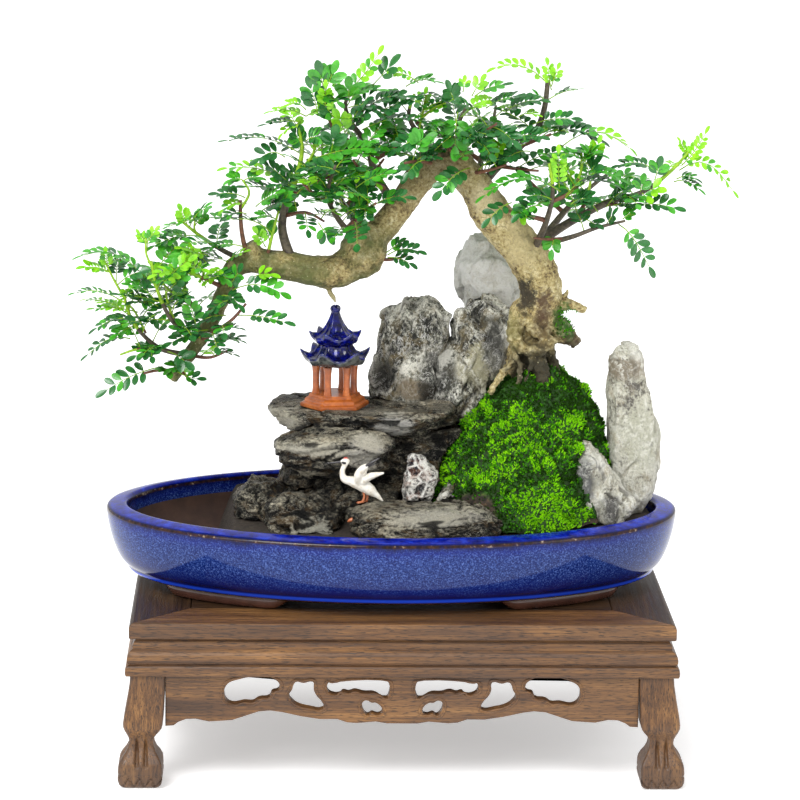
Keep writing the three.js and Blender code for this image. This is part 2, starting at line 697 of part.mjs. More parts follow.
// Leafy stems. Each twig is a line of points from inside the wood that carries it, its thickness at the
// two ends, how many fronds it bears along it, and the way that the frond at its tip points.
const SPRAYS = {
  spray_tail_tip: [
    {
      line: [[-177, -15, 299], [-192, -22, 301], [-204, -26, 299]],
      thick: [1.8, 1.2],
      fronds: 1,
      tip: [-1, -0.12, -0.34],
      tipPairs: 3,
    },
    {
      line: [[-175, -15, 301], [-168, -22, 294], [-162, -26, 291]],
      thick: [1.6, 1.1],
      fronds: 0,
      tip: [0.8, -0.2, -0.5],
    },
  ],
  spray_tail_outer: [
    {
      line: [[-168, -15, 312], [-192, -26, 320], [-212, -32, 342], [-220, -32, 368]],
      thick: [2.4, 1.2],
      fronds: 5,
      tip: [-0.6, -0.2, 0.7],
    },
  ],
  spray_tail_upright: [
    {
      line: [[-160, -15, 324], [-180, -34, 342], [-192, -42, 368], [-197, -42, 392]],
      thick: [2.4, 1.2],
      fronds: 4,
      tip: [-0.3, 0.1, 1],
    },
  ],
  spray_tail_inner: [
    {
      line: [[-160, -15, 324], [-148, -32, 334], [-134, -38, 345], [-123, -38, 358]],
      thick: [2.2, 1.2],
      fronds: 3,
      tip: [0.8, -0.3, 0.3],
    },
    {
      line: [[-168, -15, 312], [-152, -30, 313], [-138, -38, 320]],
      thick: [1.8, 1.1],
      fronds: 1,
      tip: [1, -0.1, 0],
    },
  ],
  spray_tail_back: [
    {
      line: [[-152, -15, 338], [-168, 8, 350], [-174, 24, 370], [-168, 30, 390]],
      thick: [2.2, 1.2],
      fronds: 4,
      tip: [0.2, 0.3, 0.8],
    },
  ],
  spray_branch_end: [
    {
      line: [[-126, -14, 388], [-146, -12, 398], [-162, -18, 410], [-174, -20, 420]],
      thick: [2.4, 1.2],
      fronds: 3,
      tip: [-0.8, -0.1, 0.5],
    },
    {
      line: [[-140, -15, 366], [-160, -30, 378], [-182, -38, 386]],
      thick: [2, 1.2],
      fronds: 2,
      tip: [-1, -0.2, 0.1],
    },
  ],
  spray_left_shoots: [
    {
      line: [[-122, -14, 388], [-127, -24, 414], [-128, -26, 438]],
      thick: [2.4, 1.5],
      fronds: 2,
      tip: [-0.3, -0.2, 0.8],
    },
    {
      line: [[-108, -14, 386], [-103, -24, 410], [-98, -26, 430]],
      thick: [1.8, 1.1],
      fronds: 2,
      tip: [0.2, -0.2, 1],
    },
  ],
  spray_middle_left: [
    {
      line: [
        [-86, -13, 384], [-95, -12, 412], [-92, -12, 434], [-84, -18, 456], [-80, -20, 478],
        [-84, -22, 498],
      ],
      thick: [4.4, 1.4],
      fronds: 6,
      tip: [-0.9, -0.2, 0.4],
      tipPairs: 3,
    },
  ],
  spray_middle_low: [
    {
      line: [[-36, -10, 404], [-52, -34, 426], [-60, -44, 446], [-54, -52, 470]],
      thick: [3, 1.3],
      fronds: 6,
      tip: [0.3, -0.5, 0.8],
    },
  ],
  spray_middle_back: [
    {
      line: [[-30, -6, 406], [-46, 22, 428], [-60, 42, 450], [-64, 50, 474]],
      thick: [3, 1.3],
      fronds: 5,
      tip: [-0.4, 0.4, 0.8],
    },
  ],
  spray_middle_top: [
    {
      line: [[-4, -1, 428], [-22, 2, 456], [-28, 0, 478], [-42, -4, 498], [-46, -8, 514], [-36, -8, 528]],
      thick: [4, 1.4],
      fronds: 8,
      tip: [0.7, -0.1, 0.5],
      tipPairs: 3,
    },
  ],
  spray_knob_twig: [
    {
      line: [[-24, -10, 390], [-10, -16, 390], [2, -18, 393]],
      thick: [2, 1.2],
      fronds: 1,
      tip: [1, -0.1, 0],
    },
  ],
  spray_apex: [
    {
      line: [[24, 4, 464], [14, 2, 484], [4, 0, 502], [8, -4, 520]],
      thick: [3, 1.3],
      fronds: 5,
      tip: [0.5, -0.1, 0.7],
    },
    {
      line: [[26, 0, 464], [12, -24, 470], [0, -38, 470]],
      thick: [2, 1.2],
      fronds: 2,
      tip: [-0.6, -0.6, 0.1],
    },
  ],
  spray_crown: [
    {
      line: [[52, 3, 452], [46, 0, 476], [42, -8, 494], [50, -14, 514]],
      thick: [3.6, 1.3],
      fronds: 6,
      tip: [0.5, -0.3, 0.6],
    },
  ],
  spray_crown_right: [
    {
      line: [[60, 2, 444], [76, 8, 462], [94, 12, 478], [106, 14, 490], [112, 14, 508], [114, 13, 530]],
      thick: [3.8, 1.4],
      fronds: 7,
      tip: [-0.9, -0.1, 0.3],
      tipPairs: 3,
    },
  ],
  spray_crown_back: [
    {
      line: [[60, 6, 446], [64, 34, 466], [72, 52, 482], [76, 58, 504]],
      thick: [3, 1.3],
      fronds: 5,
      tip: [0.3, 0.5, 0.6],
    },
  ],
  spray_right_upright: [
    {
      line: [[104, -6, 396], [112, -26, 422], [116, -38, 448], [112, -44, 472]],
      thick: [4, 1.4],
      fronds: 6,
      tip: [-0.8, -0.3, 0.3],
      tipPairs: 3,
    },
  ],
  spray_right_tip: [
    {
      line: [
        [104, 2, 398], [122, -2, 412], [140, -6, 424], [162, -10, 436], [190, -14, 446],
        [212, -16, 464], [224, -16, 478],
      ],
      thick: [5, 1.4],
      fronds: 7,
      tip: [1, 0, 0.1],
      tipPairs: 3,
    },
  ],
  spray_right_low: [
    {
      line: [[112, -8, 402], [134, -24, 411], [152, -30, 419], [174, -32, 425]],
      thick: [3, 1.3],
      fronds: 3,
      tip: [0.5, -0.1, -0.9],
      tipPairs: 3,
    },
  ],
  spray_right_back: [
    {
      line: [[108, 8, 398], [132, 28, 424], [152, 42, 440], [172, 50, 454]],
      thick: [3.4, 1.3],
      fronds: 5,
      tip: [0.8, 0.4, 0.3],
    },
  ],
};

const THIN_TWIG = 2.6; // a twig no thicker than this at its root is three-sided
// Places one twig's fronds in turn round it, each swung aside until it clears what is already there.
const SWINGS = [0, 26, -26, 52, -52, 84, -84, 120, -120];
function leafyTwig({ line, fronds, tip, tipPairs = 2 }, random, fixed, own) {
  const curve = new THREE.CatmullRomCurve3(line.map((p) => vec(...p)), false, "centripetal");
  const first = 0.34;
  for (let k = 0; k <= fronds; k++) {
    const atTip = k === fronds;
    const t = atTip ? 0.985 : first + ((0.93 - first) * k) / Math.max(fronds - 1, 1);
    const point = curve.getPointAt(t);
    const tangent = curve.getTangentAt(t);
    const length = 36 + 9 * random();
    const droop = 0.1 + 0.16 * random();
    const leaflet = 10.5 + 2 * random();
    const shape = { length, pairs: atTip ? tipPairs : 2, droop, leaflet };
    const turn = k * GOLDEN_TURN + 40 * random() + line[0][0];
    const towards = THREE.MathUtils.clamp((point.y + 5) / 40, -1, 1);
    const sky = vec((random() - 0.5) * 0.9, towards * 0.7 + (random() - 0.5) * 0.6, 1).normalize();
    for (const swing of SWINGS) {
      const ahead = atTip
        ? vec(...tip).applyAxisAngle(up, rad(swing * 0.4))
        : sideways(tangent, turn + swing).add(tangent.clone().multiplyScalar(0.42)).add(vec(0, 0, 0.14));
      const blade = solid(placed(frondGeometry(shape), point, ahead, sky));
      if (clears(blade, fixed, 0.7) && clears(blade, own, 0.25)) {
        own.push(blade);
        break;
      }
    }
  }
}

// A direction square to the tangent, turned about it, and flattened a little towards the level.
function sideways(tangent, degrees) {
  const side = vec(1, 0, 0).cross(tangent);
  if (side.lengthSq() < 0.05) side.set(0, 1, 0);
  side.normalize().applyAxisAngle(tangent, rad(degrees));
  side.z *= 0.5;
  return side.normalize();
}

function clears(blade, others, gap) {
  const box = blade.boundingBox();
  const near = others.filter((other) => boxesMeet(box, other.boundingBox()));
  return near.every((other) => blade.minGap(other, gap + 0.5) >= gap);
}

function addSprays(ground) {
  const trunkCutter = trunkSolid(SEAT);
  const obstacles = [...ground, trunkCutter];
  const placedBlades = [];
  const woods = Object.values(SPRAYS).map((twigs) =>
    twigs.map(({ line, thick }) => {
      const sides = thick[0] > THIN_TWIG ? 4 : 3;
      return solid(stem(line, thick, { sides, steps: line.length - 1 }));
    }),
  );
  Object.entries(SPRAYS).forEach(([name, twigs], place) => {
    const random = randomFrom(1000 + place * 17);
    const others = woods.filter((_, i) => i !== place).flat();
    const fixed = [...obstacles, ...others, ...placedBlades];
    const own = [];
    for (const twig of twigs) leafyTwig(twig, random, fixed, own);
    placedBlades.push(...own);
    const spray = [...woods[place], ...own].reduce((all, piece) => all.add(piece));
    add(name, largest(spray.subtract(trunkCutter)), COLOURS.leaf, 0.45);
  });
}

// Pavilion: a stepped hexagonal base with six posts, under a two-tiered roof with upturned corners.
const PAVILION = { x: -52.5, y: -12, z: 271 + SEAT, turn: 8 };
function hexRing(corner, middle, zCorner, zMiddle = zCorner) {
  return Array.from({ length: 12 }, (_, i) => {
    const angle = (Math.PI * i) / 6;
    const isCorner = i % 2 === 0;
    const radius = isCorner ? corner : middle * Math.cos(Math.PI / 6);
    return vec(radius * Math.cos(angle), radius * Math.sin(angle), isCorner ? zCorner : zMiddle);
  });
}

function addPavilion() {
  const steps = [[28, 0], [28, 3.4], [24.5, 4.4], [24.5, 6.8], [20.5, 8.8], [20.5, 10.4]];
  const corners = ([radius, z]) => hexRing(radius, radius, z).filter((_, i) => i % 2 === 0);
  let base = solid(loft(steps.map(corners)));
  const postSide = [[0, 9.8], [3.4, 9.8], [2.6, 13.6], [3, 33.6], [0, 33.6]];
  for (let i = 0; i < 6; i++) {
    const angle = (Math.PI * i) / 3;
    const outline = postSide.map(([r, z]) => new THREE.Vector2(r, z));
    const post = new THREE.LatheGeometry(outline, 5).rotateX(Math.PI / 2);
    base = base.add(solid(post.translate(15.2 * Math.cos(angle), 15.2 * Math.sin(angle), 0)));
  }
  // Rings of the roof: [corner radius, middle radius, corner height, middle height]
  const roofRings = [
    [17.5, 17.5, 33.9, 33.9],
    [28.5, 23.5, 46.4, 36],
    [27.8, 22.6, 48.2, 38],
    [18, 17.6, 44.6, 42],
    [13, 13, 50.4, 50.4],
    [21.6, 18.4, 61.8, 54],
    [20.8, 17.6, 63.2, 56],
    [11, 12, 61, 59.4],
    [6.6, 6.4, 66, 66],
    [3.4, 3.4, 74.4, 74.4],
    [3.8, 3.8, 78.6, 78.6],
    [1.4, 1.4, 81, 81],
  ];
  const roof = solid(loft(roofRings.map((ring) => hexRing(...ring))));
  const place = (mesh) => {
    mesh.rotation.z = rad(PAVILION.turn);
    mesh.position.set(PAVILION.x, PAVILION.y, PAVILION.z);
    return mesh;
  };
  place(add("pavilion_base", base, COLOURS.terracotta, 0.5));
  place(add("pavilion_roof", roof, COLOURS.roof, 0.2));
}

// Crane: a small glazed bird with raised wings, on two thin legs.
const CRANE = {
  body: {
    points: [[-44, -78, 224], [-39, -78, 220], [-31, -78, 220], [-24, -78, 217], [-18, -78, 212]],
    radii: [3.2, 5.6, 6.4, 5, 1.8],
  },
  neck: {
    points: [[-40, -78, 221], [-45.5, -78, 224], [-47, -78, 231], [-46, -78, 237], [-43.6, -78, 240]],
    radii: [4.4, 3.4, 2.6, 2.4, 2.6],
  },
  head: {
    points: [[-42, -78, 240.4], [-45, -78, 240.6], [-52, -78, 239.8], [-61, -78, 239.4]],
    radii: [1.6, 2.6, 1.3, 0.7],
  },
  wingNear: {
    points: [[-33, -81, 224], [-34, -84, 233], [-27, -87, 240], [-18, -88, 245]],
    radii: [3.6, 3.6, 2.6, 1],
  },
  wingFar: {
    points: [[-31, -75, 224], [-29, -72, 230], [-22, -70, 232], [-14, -69, 232]],
    radii: [3.2, 3.2, 2.4, 1],
  },
};
const CRANE_LEGS = [
  [[-31, -79.5, 217], [-29, -79.5, 213], [-31, -79.5, 208.2]],
  [[-28, -76.5, 217], [-26.5, -76.5, 213], [-28, -76.5, 208.2]],
];
function addCrane() {
  const shape = { sides: 5, steps: 4 };
  let bird;
  for (const { points, radii } of Object.values(CRANE)) {
    const part = solid(stem(points, radii, shape));
    bird = bird ? bird.add(part) : part;
  }
  let legs = solid(new THREE.BoxGeometry(10, 7, 1.2).translate(-30, -78, 208.6));
  for (const line of CRANE_LEGS) legs = legs.add(solid(stem(line, [1.1, 1.1], { sides: 4, steps: 2 })));
  const seat = CRANE.body.radii.map((r) => r + SEAT);
  const belly = solid(stem(CRANE.body.points, seat, shape));
  add("crane_body", bird, COLOURS.crane, 0.4);
  add("crane_legs", largest(legs.subtract(belly)), COLOURS.craneLeg, 0.5);
}

addStandTop();
addAprons();
addLegs();
addPot();
addGround("soil_bed", soilSolid(), soilSolid(SEAT), COLOURS.soil, 0.95);
addStone("stone_small_right");
addGround("moss_mound", mossSolid(), solid(blockGeometry(MOUND, SEAT)), COLOURS.moss, 0.95);
Object.keys(STONES).filter((name) => name !== "stone_small_right").forEach(addStone);
const stones = Object.keys(STONES).map((name) => GROUND[name]);
add("trunk", cutAway(trunkSolid(), stones), COLOURS.bark, 0.9);
addPavilion();
addCrane();
addSprays(Object.values(GROUND));

// Moves the whole so that its box's bottom centre is the origin.
const box = new THREE.Box3().setFromObject(group);
const middle = box.getCenter(vec(0, 0, 0));
group.position.set(-middle.x, -middle.y, -box.min.z);

export default group;
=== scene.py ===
# A Pistacia bonsai in its glazed tray: surfaces, foliage and light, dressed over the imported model
import math
import random

import bmesh
import bpy
from mathutils import Matrix, Vector, noise


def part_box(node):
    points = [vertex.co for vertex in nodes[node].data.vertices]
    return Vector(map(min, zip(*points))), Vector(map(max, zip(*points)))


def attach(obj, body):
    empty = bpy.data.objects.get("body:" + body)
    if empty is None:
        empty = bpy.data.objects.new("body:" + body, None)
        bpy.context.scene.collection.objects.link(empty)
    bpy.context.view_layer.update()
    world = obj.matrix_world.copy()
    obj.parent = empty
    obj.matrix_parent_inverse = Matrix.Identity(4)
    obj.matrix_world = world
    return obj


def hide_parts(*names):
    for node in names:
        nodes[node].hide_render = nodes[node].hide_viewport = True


noise.seed_set(11)  # the warped noise starts from the clock without it
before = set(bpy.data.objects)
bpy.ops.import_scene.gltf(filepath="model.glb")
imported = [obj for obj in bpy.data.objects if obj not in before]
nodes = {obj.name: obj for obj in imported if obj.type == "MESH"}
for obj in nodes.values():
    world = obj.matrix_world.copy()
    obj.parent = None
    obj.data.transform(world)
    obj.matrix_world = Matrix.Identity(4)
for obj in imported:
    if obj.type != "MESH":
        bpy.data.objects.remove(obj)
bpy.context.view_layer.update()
panelLow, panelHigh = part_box("stand_top_panel")
standMiddle = (panelLow + panelHigh) / 2
standCentreY = -0.016  # the stand's centre, behind the measuring line through the trunk


def at(x, y, z):  # a point given in millimetres from the stand's centre line
    return Vector((standMiddle.x + x / 1000, standMiddle.y - standCentreY + y / 1000, z / 1000))


def lerp(a, b, t):
    return a + (b - a) * t


def smoothstep(low, high, value):
    t = min(max((value - low) / (high - low), 0.0), 1.0)
    return t * t * (3 - 2 * t)


# Mesh helpers
def newObject(name, data):
    made = bpy.data.objects.new(name, data)
    bpy.context.scene.collection.objects.link(made)
    return made


def placedLine(points):
    return [at(*p) for p in points]


def metres(values):
    return [value / 1000 for value in values]


class MeshStore:
    def __init__(self):
        self.points = []
        self.faces = []
        self.slots = []

    def add(self, points, faces, slot=0):
        start = len(self.points)
        self.points.extend(points)
        self.faces.extend([tuple(start + i for i in face) for face in faces])
        self.slots.extend([slot] * len(faces))

    def build(self, name, materials):
        mesh = bpy.data.meshes.new(name)
        mesh.from_pydata(self.points, [], self.faces)
        for material in materials:
            mesh.materials.append(material)
        mesh.polygons.foreach_set("material_index", self.slots)
        mesh.update()
        return newObject(name, mesh)


def curveThrough(points, count):  # evenly spaced points and tangents on a smooth line
    dense = []
    for i in range(len(points) - 1):
        p0 = points[max(i - 1, 0)]
        p1, p2 = points[i], points[i + 1]
        p3 = points[min(i + 2, len(points) - 1)]
        for k in range(12):
            t = k / 12
            dense.append(
                0.5 * ((2 * p1) + (p2 - p0) * t + (2 * p0 - 5 * p1 + 4 * p2 - p3) * t * t
                       + (3 * p1 - p0 - 3 * p2 + p3) * t ** 3)
            )
    dense.append(points[-1].copy())
    lengths = [0.0]
    for a, b in zip(dense, dense[1:]):
        lengths.append(lengths[-1] + (b - a).length)
    line, k = [], 0
    for i in range(count):
        want = lengths[-1] * i / (count - 1)
        while k < len(lengths) - 2 and lengths[k + 1] < want:
            k += 1
        span = max(lengths[k + 1] - lengths[k], 1e-9)
        line.append(dense[k].lerp(dense[k + 1], (want - lengths[k]) / span))
    tangents = []
    for i in range(count):
        tangents.append((line[min(i + 1, count - 1)] - line[max(i - 1, 0)]).normalized())
    return line, tangents, lengths[-1]


def listValue(values, t):  # a list of values read as a smooth run from its first to its last
    place = t * (len(values) - 1)
    low = min(int(place), len(values) - 2)
    return lerp(values[low], values[low + 1], place - low)


def tube(store, points, radii, sides, steps, slot=0, shape=None):
    line, tangents, length = curveThrough(points, steps + 1)
    side = tangents[0].orthogonal().normalized()
    rings, faces = [], []
    for i, (centre, tangent) in enumerate(zip(line, tangents)):
        side = (side - tangent * side.dot(tangent)).normalized()
        other = tangent.cross(side)
        radius = listValue(radii, i / steps)
        for k in range(sides):
            angle = 2 * math.pi * k / sides
            out = side * math.cos(angle) + other * math.sin(angle)
            swell = shape(i / steps, angle, length) if shape else 1.0
            rings.append(centre + out * radius * swell)
    for i in range(steps):
        for k in range(sides):
            a, b = i * sides + k, i * sides + (k + 1) % sides
            faces.append((a, b, b + sides, a + sides))
    faces.append(tuple(reversed(range(sides))))
    faces.append(tuple(steps * sides + k for k in range(sides)))
    store.add(rings, faces, slot)
    return line, tangents, length


def loftRings(store, rings, slot=0):
    count = len(rings[0])
    faces = []
    for r in range(len(rings) - 1):
        for i in range(count):
            a, b = r * count + i, r * count + (i + 1) % count
            faces.append((a, b, b + count, a + count))
    faces.append(tuple(reversed(range(count))))
    faces.append(tuple((len(rings) - 1) * count + i for i in range(count)))
    store.add([p for ring in rings for p in ring], faces, slot)


def applied(made):  # bakes an object's modifiers into its mesh
    graph = bpy.context.evaluated_depsgraph_get()
    baked = bpy.data.meshes.new_from_object(made.evaluated_get(graph))
    old = made.data
    made.modifiers.clear()
    made.data = baked
    bpy.data.meshes.remove(old)
    return made


def eased(made, degrees):  # a fine bevel on each edge sharper than this
    edges = made.modifiers.new("edges", "BEVEL")
    edges.width, edges.segments = 0.0003, 2
    edges.limit_method, edges.angle_limit = "ANGLE", math.radians(degrees)
    return applied(made)


def copyNode(node, name):  # a free copy of a node's mesh, to be worked further
    mesh = nodes[node].data.copy()
    mesh.materials.clear()
    made = newObject(name, mesh)
    made.matrix_world = nodes[node].matrix_world
    return made


def remeshed(made, voxel, smoothing, rounds):  # one closed skin, voxel in mm
    remesh = made.modifiers.new("fuse", "REMESH")
    remesh.mode = "VOXEL"
    remesh.voxel_size = voxel / 1000
    soften = made.modifiers.new("soften", "SMOOTH")
    soften.factor = smoothing
    soften.iterations = rounds
    return applied(made)


def shapeBy(made, shift):  # moves each point along its normal by shift(point, normal)
    mesh = made.data
    moved = []
    for vertex in mesh.vertices:
        place = vertex.co
        moved.extend(place + vertex.normal * shift(place, vertex.normal))
    mesh.vertices.foreach_set("co", moved)
    mesh.update()


def dress(made, material, nodeNames, slotName, smooth=True):
    if material is not None:
        made.data.materials.clear()
        made.data.materials.append(material)
    made.data.polygons.foreach_set("use_smooth", [smooth] * len(made.data.polygons))
    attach(made, "root")
    if nodeNames:
        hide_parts(*nodeNames)
    return made


# Material helpers
class Finish:
    def __init__(self, name, roughness=0.5, **sockets):
        self.material = bpy.data.materials.new(name)
        self.material.use_nodes = True
        self.tree = self.material.node_tree
        self.surface = self.tree.nodes["Principled BSDF"]
        self.surface.inputs["Roughness"].default_value = roughness
        for key, value in sockets.items():
            self.surface.inputs[key.replace("_", " ")].default_value = value
        self.objectPlace = self.node("TexCoord").outputs["Object"]

    def node(self, kind, inputs=None, **settings):
        made = self.tree.nodes.new("ShaderNode" + kind)
        for key, value in settings.items():
            setattr(made, key, value)
        for key, value in (inputs or {}).items():
            self.plug(made.inputs[key], value)
        return made

    def plug(self, socket, value):
        if isinstance(value, bpy.types.NodeSocket):
            self.tree.links.new(value, socket)
        else:
            socket.default_value = value

    def stretched(self, x, y, z):
        return self.node("Mapping", {"Vector": self.objectPlace, "Scale": (x, y, z)}).outputs["Vector"]

    def cloud(self, scale, detail=6.0, rough=0.55, bend=0.0, place=None):
        return self.node("TexNoise", {
            "Vector": place or self.objectPlace, "Scale": scale, "Detail": detail,
            "Roughness": rough, "Distortion": bend,
        }).outputs["Fac"]

    def cells(self, scale, feature="F1", place=None):
        inputs = {"Vector": place or self.objectPlace, "Scale": scale}
        return self.node("TexVoronoi", inputs, feature=feature).outputs["Distance"]

    def along(self, axis="Z"):
        return self.node("SeparateXYZ", {"Vector": self.objectPlace}).outputs[axis]

    def upward(self):  # 1 where the surface faces up, -1 where it faces down
        return self.node("SeparateXYZ",
                         {"Vector": self.node("NewGeometry").outputs["Normal"]}).outputs["Z"]

    def edges(self):
        return self.node("NewGeometry").outputs["Pointiness"]

    def field(self, name):
        return self.node("Attribute", attribute_name=name).outputs["Fac"]

    def vector(self, what, a, b):
        return self.node("VectorMath", {0: a, 1: b}, operation=what).outputs["Vector"]

    def ramp(self, factor, stops):
        made = self.node("ValToRGB", {"Fac": factor})
        ramp = made.color_ramp
        while len(ramp.elements) < len(stops):
            ramp.elements.new(0.5)
        for element, (place, colour) in zip(ramp.elements, stops):
            element.position = place
            element.color = (*colour, 1) if isinstance(colour, tuple) else (colour, colour, colour, 1)
        return made.outputs["Color"]

    def mix(self, factor, a, b):
        made = self.node("Mix", data_type="RGBA")
        for socket, value in zip((made.inputs[0], made.inputs[6], made.inputs[7]), (factor, a, b)):
            if isinstance(value, tuple):
                value = (*value, 1)
            self.plug(socket, value)
        return made.outputs[2]

    def maths(self, what, a, b=0.0, clamp=False):
        made = self.node("Math", operation=what, use_clamp=clamp)
        self.plug(made.inputs[0], a)
        self.plug(made.inputs[1], b)
        return made.outputs[0]

    def times(self, a, b):
        return self.maths("MULTIPLY", a, b)

    def plus(self, a, b):
        return self.maths("ADD", a, b)

    def less(self, a, b):
        return self.maths("SUBTRACT", a, b)

    def halves(self, a, b):
        return self.plus(self.times(a, 0.5), self.times(b, 0.5))

    def span(self, value, low, high, toLow=0.0, toHigh=1.0):
        return self.node("MapRange", {
            "Value": value, "From Min": low, "From Max": high, "To Min": toLow, "To Max": toHigh,
        }).outputs["Result"]

    def bump(self, height, strength=0.5, distance=0.001, under=None):
        made = self.node("Bump", {"Height": height, "Strength": strength, "Distance": distance})
        if under:
            self.plug(made.inputs["Normal"], under)
        return made.outputs["Normal"]

    def finish(self, colour=None, normal=None, roughness=None):
        if colour is not None:
            self.plug(self.surface.inputs["Base Color"], colour)
        if normal is not None:
            self.plug(self.surface.inputs["Normal"], normal)
        if roughness is not None:
            self.plug(self.surface.inputs["Roughness"], roughness)
        return self.material


# Camera and light
cameraSetup = {
    "azimuth": 1.9, "elevation": 12.0, "roll": -0.75, "distance": 2.8,
    "aimHeight": 273.4, "lens": 157.3, "sensor": 36.0, "clip": (0.05, 150),
}


def addCamera():
    look = cameraSetup
    a, e, r = (math.radians(look[key]) for key in ("azimuth", "elevation", "roll"))
    forward = Vector((math.sin(a) * math.cos(e), math.cos(a) * math.cos(e), -math.sin(e)))
    flatRight = Vector((math.cos(a), -math.sin(a), 0))
    flatUp = flatRight.cross(forward)
    right = flatRight * math.cos(r) - flatUp * math.sin(r)
    upward = flatRight * math.sin(r) + flatUp * math.cos(r)
    camera = newObject("camera", bpy.data.cameras.new("camera"))
    camera.data.sensor_width = look["sensor"]
    camera.data.lens = look["lens"]
    camera.data.clip_start, camera.data.clip_end = look["clip"]
    place = at(0, 0, look["aimHeight"]) - forward * look["distance"]
    turn = Matrix((right, upward, -forward)).transposed().to_4x4()
    camera.matrix_world = Matrix.Translation(place) @ turn
    bpy.context.scene.camera = camera


lightSetup = {
    "key": {"place": (-1.7, -2.1, 1.9), "size": (1.5, 1.8), "power": 26, "aim": (0, 0, 0.3)},
    "side": {"place": (2.1, -1.6, 1.4), "size": (1.2, 1.8), "power": 12, "aim": (0, 0, 0.28)},
    "sun": {"towards": (0.38, 0.72, -0.92), "strength": 1.9, "spread": 28},
    "sky": 0.76, "floorGlow": 0.40, "floorHalf": 60.0, "floorLevel": -0.0005,
}


def addLights():
    for name in ("key", "side"):
        setup = lightSetup[name]
        lamp = bpy.data.lights.new(name, "AREA")
        lamp.shape = "RECTANGLE"
        lamp.size, lamp.size_y = setup["size"]
        lamp.energy = setup["power"]
        light = newObject(name, lamp)
        light.location = setup["place"]
        towards = Vector(setup["aim"]) - Vector(setup["place"])
        light.rotation_euler = towards.to_track_quat("-Z", "Y").to_euler()
    sun = bpy.data.lights.new("sun", "SUN")
    sun.energy, sun.angle = lightSetup["sun"]["strength"], math.radians(lightSetup["sun"]["spread"])
    light = newObject("sun", sun)
    light.rotation_euler = Vector(lightSetup["sun"]["towards"]).to_track_quat("-Z", "Y").to_euler()
    world = bpy.data.worlds.new("studio")
    world.use_nodes = True
    backdrop = world.node_tree.nodes["Background"]
    backdrop.inputs["Color"].default_value = (1, 1, 1, 1)
    backdrop.inputs["Strength"].default_value = lightSetup["sky"]
    bpy.context.scene.world = world
    bpy.context.scene.view_settings.view_transform = "Standard"


def addFloor():
    store = MeshStore()
    half, level = lightSetup["floorHalf"], lightSetup["floorLevel"]
    corners = [(-1, -1), (1, -1), (1, 1), (-1, 1)]
    store.add([Vector((x * half, y * half, level)) for x, y in corners], [(0, 1, 2, 3)])
    # a lit white table
    paper = Finish("paleFloor", 0.9, Emission_Color=(1, 1, 1, 1),
                   Emission_Strength=lightSetup["floorGlow"])
    grain = paper.cloud(60, 3)
    paper.finish(paper.ramp(grain, [(0.3, (0.90, 0.90, 0.90)), (0.7, (0.92, 0.92, 0.92))]))
    store.build("floor", [paper.material])


addCamera()
addLights()
addFloor()
print("camera, light and floor")


# Stand
standWood = {
    "colours": [(0.0, (0.045, 0.019, 0.007)), (0.35, (0.105, 0.046, 0.015)),
        (0.60, (0.165, 0.075, 0.023)), (0.85, (0.240, 0.114, 0.035)), (1.0, (0.320, 0.160, 0.052))],
    # shade: a darker brown for random dull patches, and for the painted shade towards the feet
    "pore": (0.016, 0.008, 0.005), "shade": (0.070, 0.038, 0.022), "roughness": 0.42,
    # across and along the grain, per metre
    "broad": (55, 5), "streak": (620, 13), "pores": (1500, 120),
}


def woodFinish(name, along, paintedShadeTint=1.0):  # open grain that runs along X, Y or Z
    look = standWood
    wood = Finish(name, look["roughness"])

    def grain(key, detail, rough, bend=0.0):
        scale = [look[key][0]] * 3
        scale[along] = look[key][1]
        return wood.cloud(1.0, detail, rough, bend, wood.stretched(*scale))

    broad = grain("broad", 5, 0.6, 0.8)
    streak = grain("streak", 6, 0.65, 0.3)
    pores = grain("pores", 2, 0.5)
    blend = wood.halves(broad, streak)
    stops = [(place, tuple(c * paintedShadeTint for c in colour)) for place, colour in look["colours"]]
    colour = wood.ramp(wood.span(blend, 0.37, 0.63), stops)
    dull = wood.span(wood.cloud(9, 4, 0.6), 0.45, 0.68, 0.0, 0.45)
    colour = wood.mix(dull, colour, tuple(c * paintedShadeTint for c in look["shade"]))
    low = wood.span(wood.along(), 0.045, 0.006, 0.0, 0.62)  # painted shade: darker towards the feet, near the floor
    colour = wood.mix(low, colour, tuple(c * paintedShadeTint for c in look["shade"]))
    pore = wood.span(pores, 0.55, 0.63)
    colour = wood.mix(wood.times(pore, 0.75), colour, look["pore"])
    relief = wood.less(wood.times(streak, 0.5), wood.times(pore, 0.6))
    normal = wood.bump(relief, 0.35, 0.0005)
    rough = wood.span(streak, 0.3, 0.7, 0.36, 0.58)
    return wood.finish(colour, normal, rough)


woodAlong = [woodFinish("woodGrainX", 0), woodFinish("woodGrainY", 1), woodFinish("woodGrainZ", 2)]
# the top panel and the side rails are darker copies of the same wood: painted shade on these top faces
panelWoodPaintedShade = woodFinish("panelWoodPaintedShade", 0, 0.26)
topWood = [woodFinish("railWoodX", 0, 1.0), woodFinish("railWoodYPaintedShade", 1, 0.28)]

standShape = {
    "halfWidth": 210.5, "halfDepth": 136.5, "middleY": -16, "panelEdge": 0.6,
    "rail": [(0.9, 117.0), (0.1, 117.8), (0, 119), (0, 125.9), (0.5, 127.6), (1.7, 128.9), (3.2, 129.5),
        (45.2, 129.5), (46, 128.9), (46, 117)],
    "waist": [(5.2, 117), (4.9, 115.6), (3.5, 113.2), (2.7, 110.8), (3.0, 108.9), (2.1, 108.3),
        (0.3, 106.7), (-1.1, 104.5), (-1.6, 102), (-1.5, 99.6), (-0.9, 98), (0.2, 97.3), (0.1, 96.7),
        (-1.8, 96.1), (-2.7, 94.8), (-3.0, 92), (-2.9, 89.6), (-2.2, 88), (20, 88), (20, 117)],
}


